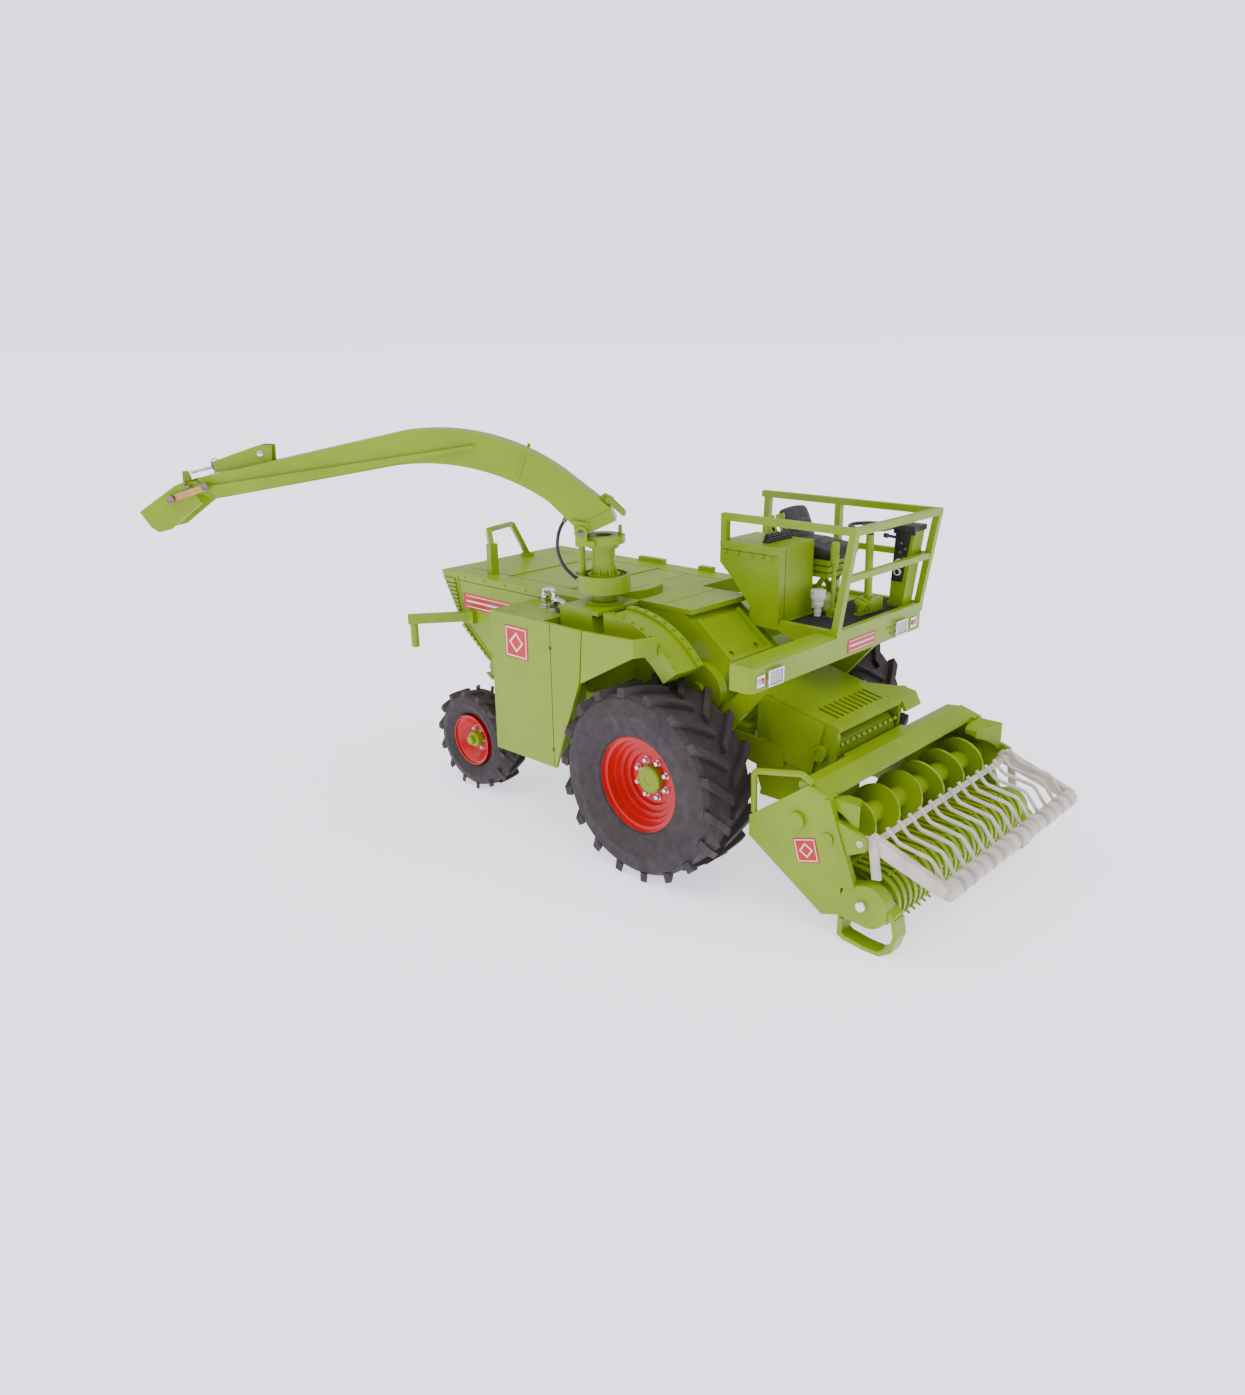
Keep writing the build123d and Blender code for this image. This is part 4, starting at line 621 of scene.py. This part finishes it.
class HARVESTER_OT_lamps(bpy.types.Operator):
    """Fit the headlamps, indicators, rear side lamp and the beacon behind the seat"""

    bl_idname = "harvester.lamps"
    bl_label = "Fit the lamps"

    def execute(self, context):
        face = face_of("headlamps", X, NEAR)
        self.headlamps(face)
        self.indicators(face)
        self.rear_lamp()
        self.beacon()
        return {"FINISHED"}

    def headlamps(self, face):
        frames, panes = Build(), Build()

        def corners(y, half_width, half_height):
            return [at(face, y + half_width * a, LAMP_HEIGHT + half_height * b)
                    for a, b in ((-1, -1), (1, -1), (1, 1), (-1, 1))]

        for y in (-30.1, 26.1):
            outer = corners(y, 2.9, 2.0)
            inner = corners(y, 2.4, 1.55)
            for i in range(4):
                j = (i + 1) % 4
                frames.slab([outer[i], outer[j], inner[j], inner[i]], Vector((1.05 * MM, 0, 0)))
            pane = [corner.lerp(at(face, y, LAMP_HEIGHT), 0.02) for corner in inner]
            panes.slab(pane, Vector((0.8 * MM, 0, 0)))
        screws = Build()
        for y, z in ((21.9, 57.0), (20.6, 57.0), (21.9, 55.4)):
            screws.lathe(at(face, y, z), (1, 0, 0), [(0.32, 0), (0.32, 0.22), (0.2, 0.34), (0.0, 0.34)], 14)
        screws.done("lamp_bar_screws", "green", "chassis")
        frames.done("headlamp_frames", "bolt", "chassis", 0.1, slot="lamp_glass")
        panes.done("headlamp_panes", "glass", "chassis", 0.06)
        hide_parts("headlamps")

    def indicators(self, face):
        bases, clear, amber = Build(), Build(), Build()
        for y, aside in ((-35.1, 1), (33.5, -1)):
            bases.box(at(face, y - 1.5, 54.7), at(face + 0.35, y + 1.5, 57.5))
            for lens_build, middle in ((clear, y - 0.7 * aside), (amber, y + 0.7 * aside)):
                lens_build.lathe(at(face + 0.3, middle, 56.1), (1, 0, 0),
                                 [(0.68, 0), (0.68, 0.3), (0.5, 0.5), (0.2, 0.6), (0.0, 0.61)], 24)
        piece = bases.done("indicator_bases", "bolt", "chassis", 0.08, slot="lamp_amber")
        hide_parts("indicator_lamps")
        clear.done("indicator_clear_lenses", "glass", "chassis")
        amber.done("indicator_amber_lenses", "amber", "chassis")

    def rear_lamp(self):
        edge = face_of("engine_hood", Y, NEAR) + 3.9     # clear of the rocking tyre
        shelf, lamp = Build(), Build()
        shelf.slab([at(-85.0, edge + 3.0, 30.8), at(-79.0, edge, 30.8), at(-75.4, edge, 30.8),
                    at(-75.4, edge + 5.6, 30.8), at(-82.0, edge + 5.6, 30.8)], Vector((0, 0, 0.7 * MM)))
        shelf.box(at(-80.6, edge + 1.2, 31.4), at(-78.6, edge + 3.0, 36.0))
        shelf.done("rear_lamp_shelf", "green", "chassis", 0.1)
        lamp.box(at(-81.4, edge + 1.5, 33.2), at(-80.5, edge + 2.8, 35.2))
        lamp.done("rear_side_lamp", "amber", "chassis", 0.15)

    def beacon(self):
        base, dome = Build(), Build()
        place = at(-1.4, 12.6, 80.6)
        base.lathe(place - Vector((0, 0, 0.8 * MM)), (0, 0, 1),
                   [(0.5, 0), (0.5, 0.5), (0.9, 0.8), (0.9, 1.2)], 24)
        dome.lathe(place + Vector((0, 0, 0.4 * MM)), (0, 0, 1),
                   [(0.8, 0), (0.8, 0.9), (0.62, 1.3), (0.3, 1.52), (0.0, 1.56)], 24)
        base.done("beacon_base", "black", "chassis", 0.05)
        dome.done("beacon_dome", "amber", "chassis")


def pillow(name, centre, along, across, up, half, crown, seams):
    """Hard moulding in the shape of a pad: crowned, round-cornered, with channels across its top.

    along, across and up are unit directions; half is (half length, half width, half thickness) in mm."""
    steps_a, steps_b = 36, 28
    bm = bmesh.new()
    layers = []
    for face in (1, -1):
        grid = []
        for i in range(steps_a + 1):
            row = []
            for j in range(steps_b + 1):
                u, v = 2 * i / steps_a - 1, 2 * j / steps_b - 1
                # the plan is a square with its corners pulled in
                pull_u = u * math.sqrt(1 - 0.16 * v * v)
                pull_v = v * math.sqrt(1 - 0.16 * u * u)
                edge = (1 - abs(u) ** 5) * (1 - abs(v) ** 5)
                height = half[2] * max(edge, 0.0) ** 0.32
                height += crown * (1 - u * u) * (1 - v * v) if face > 0 else 0.0
                if face > 0:
                    for seam in seams:
                        height -= 0.34 * math.exp(-((u - seam) / 0.035) ** 2) * max(edge, 0.0)
                    height -= 0.2 * math.exp(-((abs(v) - 0.74) / 0.035) ** 2) * max(edge, 0.0)
                point = (centre + along * pull_u * half[0] * MM + across * pull_v * half[1] * MM
                         + up * face * height * MM)
                row.append(bm.verts.new(point))
            grid.append(row)
        layers.append(grid)
    for grid, flip in zip(layers, (False, True)):
        for i in range(steps_a):
            for j in range(steps_b):
                corners = [grid[i][j], grid[i + 1][j], grid[i + 1][j + 1], grid[i][j + 1]]
                bm.faces.new(corners[::-1] if flip else corners)
    bmesh.ops.remove_doubles(bm, verts=bm.verts, dist=1e-6)
    build = Build()
    build.bm.free()
    build.bm = bm
    piece = build.done(name, "seat", "chassis", smooth=60)
    round_off = piece.modifiers.new("soft surface", "SUBSURF")
    round_off.levels = round_off.render_levels = 1
    return piece


class HARVESTER_OT_seat(bpy.types.Operator):
    """Shape the driver's moulded seat: its base, its curved back and the pan below"""

    bl_idname = "harvester.seat"
    bl_label = "Shape the seat"

    def execute(self, context):
        low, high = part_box("seat")
        middle = (low.y + high.y) / 2
        width = (high.y - low.y) / MM / 2
        side = Vector((0, 1, 0))
        along = Vector((1, 0, -0.1)).normalized()
        up = side.cross(along) * -1
        seat = Vector((0, middle, 0)) + Vector((DATUM.x, 0, 0)) + Vector((10.6, 0, 76.2)) * MM
        cushion = pillow("seat_base_moulding", seat, along, side, up, (8.0, width, 1.7), 0.7,
                         (-0.45, 0.0, 0.45))
        lean = Vector((-0.42, 0, 1)).normalized()
        front = side.cross(lean)
        rest = Vector((DATUM.x, middle, 0)) + Vector((1.9, 0, 81.0)) * MM
        pillow("seat_back_moulding", rest, lean, side, front, (5.4, width * 0.94, 1.6), 0.6,
               (-0.35, 0.15))
        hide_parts("seat")
        shell = Build()
        shell.slab([Vector((DATUM.x, middle - width * 0.8 * MM, 0)) + Vector(p) * MM
                    for p in ((3.4, 0, 75.6), (15.6, 0, 74.2), (15.6, 0, 73.9), (3.0, 0, 74.6))],
                   Vector((0, width * 1.6 * MM, 0)))
        shell.done("seat_pan", "black", "chassis", 0.12)
        return {"FINISHED"}


class HARVESTER_OT_controls(bpy.types.Operator):
    """Fit boots, knobs, dials, pedal pads and grips on the driver's platform"""

    bl_idname = "harvester.controls"
    bl_label = "Fit the controls"

    def execute(self, context):
        self.lever_boots()
        self.dials()
        self.grips()
        self.filter_rings()
        self.railing_feet()
        return {"FINISHED"}

    def lever_boots(self):
        boots, flecks = Build(), Build()
        for i in range(5):
            foot = at(5.4, 0.6 + 2.2 * i, 79.3)
            boots.lathe(foot, (0, 0, 1), [(1.25, 0), (1.25, 0.4), (0.95, 0.7), (1.1, 0.9), (0.8, 1.3),
                                          (0.92, 1.5), (0.6, 2.1), (0.44, 2.3)], 20)
            for turn in (0.6, 2.6, 4.4):
                spot = foot + Vector((math.cos(turn), math.sin(turn), 0)) * 0.92 * MM
                flecks.lathe(spot + Vector((0, 0, 0.5 * MM)), (math.cos(turn), math.sin(turn), 0.5),
                             [(0.12, 0), (0.1, 0.14), (0.0, 0.16)], 8)
        boots.done("lever_boots", "black", "chassis")
        flecks.done("lever_boot_clips", "white", "chassis")

    def dials(self):
        side = face_of("instrument_panel", Y, NEAR)
        rims, faces, knobs = Build(), Build(), Build()
        right = Vector((0, -1, 0))
        for x, z in ((26.0, 69.6), (26.2, 72.2)):
            place = at(x, side - 0.1, z)
            rims.lathe(place, right, [(0.95, 0), (0.95, 0.7), (0.72, 0.74), (0.7, 0.5), (0.7, 0.0)], 32)
            faces.lathe(place, right, [(0.68, 0), (0.68, 0.62), (0.0, 0.62)], 32)
        for x, z in ((26.5, 74.8), (26.7, 77.2), (27.7, 73.4), (27.9, 75.8)):
            knobs.lathe(at(x, side, z), right, [(0.42, 0), (0.42, 0.75), (0.3, 0.85), (0.0, 0.86)], 16)
        rims.done("dial_rims", "white", "chassis", 0.03)
        faces.done("dial_faces", "black", "chassis")
        knobs.done("switch_knobs", "steel", "chassis", 0.03)

    def grips(self):
        sleeve, pads, hub = Build(), Build(), Build()
        low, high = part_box("hand_lever")
        top = Vector(((low.x + high.x) / 2, (low.y + high.y) / 2, high.z))
        sleeve.lathe(top, (0, 0, -1), [(0.0, -0.22), (0.6, -0.18), (0.98, 0.1), (1.08, 0.5), (1.08, 5.3),
                                       (0.9, 5.7), (0.6, 5.9)], 28)
        for turn in range(5):
            sleeve.lathe(top - Vector((0, 0, (1.0 + 0.9 * turn) * MM)), (0, 0, -1),
                         [(1.05, 0), (1.16, 0.1), (1.16, 0.3), (1.05, 0.4)], 28)
        sleeve.done("hand_lever_grip", "green", "hand_lever")
        for y in (16.35, 18.55):
            pads.slab([at(25.5, y - 0.75, 63.1), at(22.7, y - 0.75, 64.1), at(22.7, y + 0.75, 64.1),
                       at(25.5, y + 0.75, 63.1)], Vector((0.12, 0, 0.3)).normalized() * 0.3 * MM)
        pads.done("pedal_pads", "green", "chassis", 0.06)
        low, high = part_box("steering_wheel")
        middle = (low + high) / 2
        hub.lathe(Vector((middle.x, middle.y, high.z)), (0, 0, 1),
                  [(1.15, -0.5), (1.15, -0.1), (0.95, 0.12), (0.35, 0.18), (0.0, 0.18)], 28)
        hub.done("steering_wheel_cap", "black", "steering_wheel", 0.03)

    def filter_rings(self):
        low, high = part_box("floor_filter")
        middle = (low + high) / 2
        rings = Build()
        for z, radius in ((6.3, 2.02), (5.2, 2.02), (4.3, 1.52), (3.1, 1.52), (2.2, 1.0), (1.0, 1.0)):
            rings.lathe(Vector((middle.x, middle.y, low.z + z * MM)), (0, 0, 1),
                        [(radius - 0.3, 0), (radius, 0.06), (radius, 0.3), (radius - 0.3, 0.36)], 32)
        rings.done("floor_filter_rings", "white", "chassis")

    def railing_feet(self):
        caps = Build()
        low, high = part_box("platform_deck")
        for y in (low.y + 1.6 * MM, high.y - 1.6 * MM):
            for x in (high.x - 1.6 * MM, low.x + 30 * MM):
                hexagon_head(caps, Vector((x, y, high.z - 1.0 * MM)), (0, 0, 1), 0.4, 0.4)
        caps.done("deck_bolts", "green", "chassis")


class HARVESTER_OT_spout(bpy.types.Operator):
    """Fit the spout's screws, cylinder fittings and hose sleeves, and the tower's gussets and bolts"""

    bl_idname = "harvester.spout"
    bl_label = "Fit the spout's details"

    def execute(self, context):
        self.screws()
        self.cylinder()
        self.hose_ends()
        self.tower()
        return {"FINISHED"}

    def screws(self):
        link_face = 6.35                        # outer face of a flap link, from the spout's middle
        for side, name in SIDES:
            heads = Build()
            for back, z in ((97.8, 95.8), (106.7, 92.8)):
                start = on_spout(back, side * (link_face - 0.12), z)
                heads.lathe(start, TILT * side,
                            [(0.95, 0), (0.95, 0.25), (0.75, 0.45), (0.3, 0.4), (0.0, 0.4)], 24)
            heads.done("flap_link_screws_" + name, "steel", "flap_links", 0.03)
            pin = Build()
            pin.lathe(on_spout(102.8, side * 5.1, 95.9), TILT * side,
                      [(0.5, 0), (0.62, 0.04), (0.62, 0.16), (0.4, 0.22), (0.0, 0.22)], 20)
            pin.done("flap_pin_heads_" + name, "steel", "spout")
            hinge = Build()
            hexagon_head(hinge, on_spout(5.4, side * 6.1, 83.4), TILT * side, 0.85, 0.7)
            hinge.done("spout_pin_heads_" + name, "steel", "turret", 0.03)

    def cylinder(self):
        start, end = on_spout(86.6, 0, 102.6), on_spout(97.6, 0, 100.0)
        along = (end - start).normalized()
        caps, hoop = Build(), Build()
        caps.lathe(start, along, [(0.6, -0.5), (1.1, -0.3), (1.1, 0.9), (0.98, 1.1)], 28)
        caps.lathe(end - along * 1.3 * MM, along,
                   [(0.98, 0), (1.12, 0.2), (1.12, 1.2), (0.7, 1.4), (0.5, 1.4)], 28)
        caps.done("flap_cylinder_caps", "steel", "spout", 0.04)
        points = []
        for i in range(25):
            turn = math.radians(-40 + 260 * i / 24)
            points.append(on_spout(96.6 + 1.2 * math.cos(turn), -0.5, 100.9 + 1.1 * math.sin(turn)))
        hoop.tube(points, 0.22, 10)
        hoop.done("flap_cylinder_hoop", "bolt", "flap_rod")
        for side, name in SIDES:
            head = Build()
            head.lathe(on_spout(84.6, side * 1.95, 103.2), TILT * side,
                       [(0.8, 0), (0.8, 0.22), (0.55, 0.42), (0.0, 0.46)], 24)
            head.done("flap_cylinder_pin_" + name, "bolt", "spout")

    def hose_ends(self):
        sleeves = Build()
        first = (on_spout(9.21, 0, 86.59), on_spout(11.3, 0, 83.2))
        last = (on_spout(5.35 + 0.9, 0, 71.2), on_spout(10.6, 0, 74.0))
        for start, towards in (first, last):
            along = (towards - start).normalized()
            sleeves.lathe(start - along * 0.2 * MM, along,
                          [(0.72, 0), (0.72, 0.5), (0.6, 0.6), (0.6, 1.5), (0.48, 1.7)], 20)
        sleeves.done("hose_sleeves", "steel", "turret", 0.03)

    def tower(self):
        gussets, bolts = Build(), Build()
        for i in range(8):
            turn = math.radians(22.5 + 45 * i)
            out = Vector((math.cos(turn), math.sin(turn), 0))
            aside = Vector((-out.y, out.x, 0))
            base = Vector((TOWER.x, TOWER.y, 0)) + Vector((0, 0, 71.0 * MM))
            rise = Vector((0, 0, 3.0 * MM))
            corners = [base + out * 2.9 * MM, base + out * 4.3 * MM, base + out * 3.0 * MM + rise,
                       base + out * 2.8 * MM + rise]
            gussets.slab([corner - aside * 0.2 * MM for corner in corners], aside * 0.4 * MM)
            seat = base + (out * 3.9 + aside * 1.3) * MM + Vector((0, 0, -0.45 * MM))
            hexagon_head(bolts, seat, (0, 0, 1), 0.32, 0.4)
        gussets.done("tower_gussets", "green", "turret", 0.05)
        bolts.done("tower_bolts", "green", "turret")


class HARVESTER_OT_body(bpy.types.Operator):
    """Add painted shade in the shut lines, the grille slots and under the intake roof's louvres, rivets,
    and the tank's hose and nuts
    """

    bl_idname = "harvester.body"
    bl_label = "Fit the body's details"

    def execute(self, context):
        self.shut_lines()
        self.grille_slots()
        self.rivets()
        self.tank()
        return {"FINISHED"}

    def line(self, build, start, end, outward, width=0.22, proud=0.03):
        """A dark strip lying on a face: painted shade where a recessed shut line would be."""
        along = (end - start).normalized()
        aside = along.cross(outward).normalized() * width / 2 * MM
        build.slab([start - aside, end - aside, end + aside, start + aside], outward * proud * MM)

    def shut_lines(self):
        # painted shade: darker green strips on the hood, 0.03 mm proud, where its recessed shut lines would
        # hold shade
        lines = Build()
        up = Vector((0, 0, 1))
        for y in (-19.5, 15.5):
            self.line(lines, at(-90, y, 63.5), at(-20, y, 63.5), up)
        for x in (-71.5, -45.5, -33.0):
            self.line(lines, at(x, -19.5, 63.5), at(x, 15.5, 63.5), up)
        side = face_of("engine_hood", Y, NEAR)
        right = Vector((0, -1, 0))
        self.line(lines, at(-87.0, side, 61.4), at(-20.0, side, 61.4), right)
        left_side = face_of("engine_hood", Y, FAR)
        self.line(lines, at(-87.0, left_side, 61.4), at(-24.0, left_side, 61.4), -right)
        for x in (-66.0, -44.0):
            self.line(lines, at(x, left_side, 61.4), at(x, left_side, 40.4), -right)
        lines.done("hood_shut_line_shade", "seam", "chassis")

    def grille_slots(self):
        """Painted shade: dark slabs in the slots of the two grilles at the rear corner, standing in for the
        shade in the slots' depth.
        """
        slots = Build()
        face = face_of("side_grilles", Y, NEAR)
        grilles = (
            # foot (rear x, front x, z), head (rear x, front x, z), first slot's z, slots
            ((-86.9, -86.0, 50.2), (-93.6, -88.4, 61.6), 52.0, 8),
            ((-75.0, -73.6, 39.2), (-86.4, -84.9, 47.9), 40.6, 6),
        )
        for foot, head, first, count in grilles:
            for i in range(count):
                z = first + 1.15 * i
                share = (z - foot[2]) / (head[2] - foot[2])
                rear = foot[0] + (head[0] - foot[0]) * share + 0.35
                front = foot[1] + (head[1] - foot[1]) * share - 0.35
                slots.box(at(rear, face - 0.02, z), at(front, face + 0.28, z + 0.38))
        slots.done("side_grille_slot_shade", "seam", "chassis")

    def row(self, build, start, end, count, outward):
        """Evenly spaced domed rivet heads from start to end."""
        radius = size("rivet")
        for i in range(count):
            place = start.lerp(end, i / (count - 1))
            dome = [(radius, 0), (radius, 0.12), (radius * 0.8, 0.27), (radius * 0.4, 0.36), (0.0, 0.38)]
            build.lathe(place - outward * 0.05 * MM, outward, dome, 16)

    def rivets(self):
        heads = Build()
        right = Vector((0, -1, 0))
        side = face_of("engine_hood", Y, NEAR)
        self.row(heads, at(-84, side, 62.6), at(-48, side, 62.6), 5, right)
        low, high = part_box("console_box")
        self.row(heads, Vector((low.x + 2 * MM, low.y, high.z - 2.6 * MM)),
                 Vector((high.x - 5 * MM, low.y, high.z - 2.6 * MM)), 4, right)
        heads.done("body_rivets", "green", "chassis")
        roof = Build()
        for y in (-12.6, 12.6):
            self.row(roof, at(18.5, y, 45.28), at(36.0, y, 41.64), 3, Vector((0.2, 0, 1)).normalized())
        roof.done("intake_roof_rivets", "green", "intake")
        # painted shade: a dark plate under the intake roof that shows through the louvre slots as their
        # shade
        shade = Build()
        below = [at(x, y, z) for x, y, z in
                 ((29.2, -10.9, 41.76), (35.8, -10.9, 40.38), (35.8, 10.9, 40.38), (29.2, 10.9, 41.76))]
        shade.slab(below, Vector((0, 0, -0.15 * MM)))
        shade.done("louvre_painted_shade", "black", "intake")

    def tank(self):
        top = face_of("side_tank", Z, FAR)
        nuts, hose = Build(), Build()
        for x, y in ((-43.0, -32.5), (-38.6, -33.0)):
            hexagon_head(nuts, at(x, y, top), (0, 0, 1), 1.25, 0.9)
            nuts.lathe(at(x, y, top + 2.5), (0, 0, 1), [(1.05, 0), (1.12, 0.2), (1.12, 0.8), (1.0, 1.0)], 6)
        nuts.lathe(at(-38.0, -33.0, top + 2.6), (1, 0, 0.05), [(0.95, 0), (0.95, 0.9), (0.82, 1.0)], 6)
        nuts.done("filler_nuts", "chrome", "chassis", 0.04)
        route = bend([at(-38.6, -34.2, top + 1.2), at(-36.6, -35.0, top + 1.7), at(-34.4, -35.6, top + 0.9),
                      at(-32.4, -35.4, top + 0.1)], 3.0)
        hose.tube(route, 0.5, 14)
        hose.done("tank_hose", "hose", "chassis")


class HARVESTER_OT_header(bpy.types.Operator):
    """Fit the bright heads of the tine drum's pivots"""

    bl_idname = "harvester.header"
    bl_label = "Fit the header's details"

    def execute(self, context):
        pivot = Vector(JOINTS["tine_drum_spin"]["pos_m"])
        low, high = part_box("header_sides")
        heads = Build()
        for side, y in ((-1, low.y), (1, high.y)):
            start = Vector((pivot.x, y - side * 0.9 * MM, pivot.z))
            heads.lathe(start, (0, side, 0),
                        [(1.3, 0), (1.3, 0.6), (1.1, 0.95), (0.5, 1.15), (0.0, 1.2)], 28)
        heads.done("drum_pivot_heads", "bolt", "intake", 0.03)
        return {"FINISHED"}


class HARVESTER_OT_stage(bpy.types.Operator):
    """Lay the pale floor, hang the soft lights and set the camera"""

    bl_idname = "harvester.stage"
    bl_label = "Set up the studio"

    def execute(self, context):
        self.floor()
        self.lights()
        self.camera(context)
        return {"FINISHED"}

    def floor(self):
        f = Finish("studio floor", 0.9)
        f.bsdf.inputs["Specular IOR Level"].default_value = 0.0
        f.bsdf.inputs["Emission Color"].default_value = (*BACKDROP, 1.0)
        f.bsdf.inputs["Emission Strength"].default_value = FLOOR_GLOW
        base = linear(colours().floor)
        f.colour(f.mix(f.span(f.noise(60, 3), 0.3, 0.7), tint(base, 0.995), tint(base, 1.005)))
        mesh = bpy.data.meshes.new("studio_floor")
        corners = [(x * FLOOR_REACH, y * FLOOR_REACH, 0) for x, y in ((-1, -1), (1, -1), (1, 1), (-1, 1))]
        mesh.from_pydata(corners, [], [(0, 1, 2, 3)])
        floor = bpy.data.objects.new("studio_floor", mesh)
        bpy.context.scene.collection.objects.link(floor)
        mesh.materials.append(f.mat)

    def lights(self):
        world = bpy.data.worlds.new("studio")
        bpy.context.scene.world = world
        world.use_nodes = True
        nodes, links = world.node_tree.nodes, world.node_tree.links
        glow = nodes["Background"]
        glow.inputs["Color"].default_value = (*SKY_TINT, 1.0)
        glow.inputs["Strength"].default_value = SKY_LIGHT
        backdrop = nodes.new("ShaderNodeBackground")
        backdrop.inputs["Color"].default_value = (*BACKDROP, 1.0)
        seen = nodes.new("ShaderNodeLightPath").outputs["Is Camera Ray"]
        pick = nodes.new("ShaderNodeMixShader")
        links.new(seen, pick.inputs[0])
        links.new(glow.outputs[0], pick.inputs[1])
        links.new(backdrop.outputs[0], pick.inputs[2])
        links.new(pick.outputs[0], nodes["World Output"].inputs["Surface"])
        for name, turn, tilt, spread, strength in SOFT_LIGHTS:
            data = bpy.data.lights.new(name, "SUN")
            data.angle = math.radians(spread)
            data.energy = strength
            lamp = bpy.data.objects.new(name, data)
            a, e = math.radians(turn), math.radians(tilt)
            towards = Vector((math.sin(a) * math.cos(e), -math.cos(a) * math.cos(e), math.sin(e)))
            lamp.rotation_euler = (-towards).to_track_quat("-Z", "Y").to_euler()
            bpy.context.scene.collection.objects.link(lamp)

    def camera(self, context):
        data = bpy.data.cameras.new("camera")
        data.sensor_width = 36.0
        data.lens = CAMERA_LENS
        data.clip_start, data.clip_end = 0.01, 20.0
        camera = bpy.data.objects.new("camera", data)
        a, e, roll = (math.radians(v) for v in (CAMERA_TURN, CAMERA_TILT, CAMERA_ROLL))
        ahead = Vector((-math.sin(a) * math.cos(e), math.cos(a) * math.cos(e), -math.sin(e)))
        aside = ahead.cross(Vector((0, 0, 1))).normalized()
        up = aside.cross(ahead)
        right = aside * math.cos(roll) + up * math.sin(roll)
        over = up * math.cos(roll) - aside * math.sin(roll)
        camera.matrix_world = Matrix((
            (right.x, over.x, -ahead.x, 0), (right.y, over.y, -ahead.y, 0), (right.z, over.z, -ahead.z, 0),
            (0, 0, 0, 1)))
        camera.location = at(*CAMERA_PLACE)
        context.scene.collection.objects.link(camera)
        context.scene.camera = camera


LAMP_HEIGHT = 56.2                      # millimetres above the ground
CAMERA_PLACE = (162.4, -219.3, 128.9)   # millimetres from the ground under the front axle
CAMERA_TURN = 43.5                      # degrees round the model, 0 looks along +Y
CAMERA_TILT = 18.72
CAMERA_ROLL = -0.84
CAMERA_LENS = 27.3
FLOOR_REACH = 60.0                      # metres
FLOOR_GLOW = 0.5
SKY_TINT = (0.95, 0.945, 1.0)
SKY_LIGHT = 0.72
BACKDROP = (2.12, 2.06, 2.5)         # what shows above the floor's far edge
SOFT_LIGHTS = (
    # name, turn, tilt, spread in degrees, strength
    ("high_light", 15, 72, 60, 1.5),
    ("left_light", -50, 40, 50, 0.7),
    ("right_light", 115, 38, 50, 0.6),
)

OPERATORS = (
    HARVESTER_OT_stage, HARVESTER_OT_castings, HARVESTER_OT_wheels, HARVESTER_OT_badges, HARVESTER_OT_lamps,
    HARVESTER_OT_seat, HARVESTER_OT_controls, HARVESTER_OT_spout, HARVESTER_OT_body, HARVESTER_OT_header,
)


class HARVESTER_PT_panel(bpy.types.Panel):
    """Lists the colours, the sizes and the pieces in the sidebar"""

    bl_label = "Forage Harvester"
    bl_idname = "HARVESTER_PT_panel"
    bl_space_type = "VIEW_3D"
    bl_region_type = "UI"
    bl_category = "Harvester"

    def draw(self, context):
        layout = self.layout
        for settings in (context.scene.harvester_colours, context.scene.harvester_sizes):
            box = layout.box()
            for name in settings.__annotations__:
                box.prop(settings, name)
        for operator in OPERATORS:
            layout.operator(operator.bl_idname)


CLASSES = (HarvesterColours, HarvesterSizes, *OPERATORS, HARVESTER_PT_panel)


def register():
    for cls in CLASSES:
        bpy.utils.register_class(cls)
    bpy.types.Scene.harvester_colours = bpy.props.PointerProperty(type=HarvesterColours)
    bpy.types.Scene.harvester_sizes = bpy.props.PointerProperty(type=HarvesterSizes)


def unregister():
    del bpy.types.Scene.harvester_sizes
    del bpy.types.Scene.harvester_colours
    for cls in reversed(CLASSES):
        bpy.utils.unregister_class(cls)


def main():
    register()
    for operator in OPERATORS:
        group, name = operator.bl_idname.split(".")
        getattr(getattr(bpy.ops, group), name)()


if __name__ == "__main__":
    main()
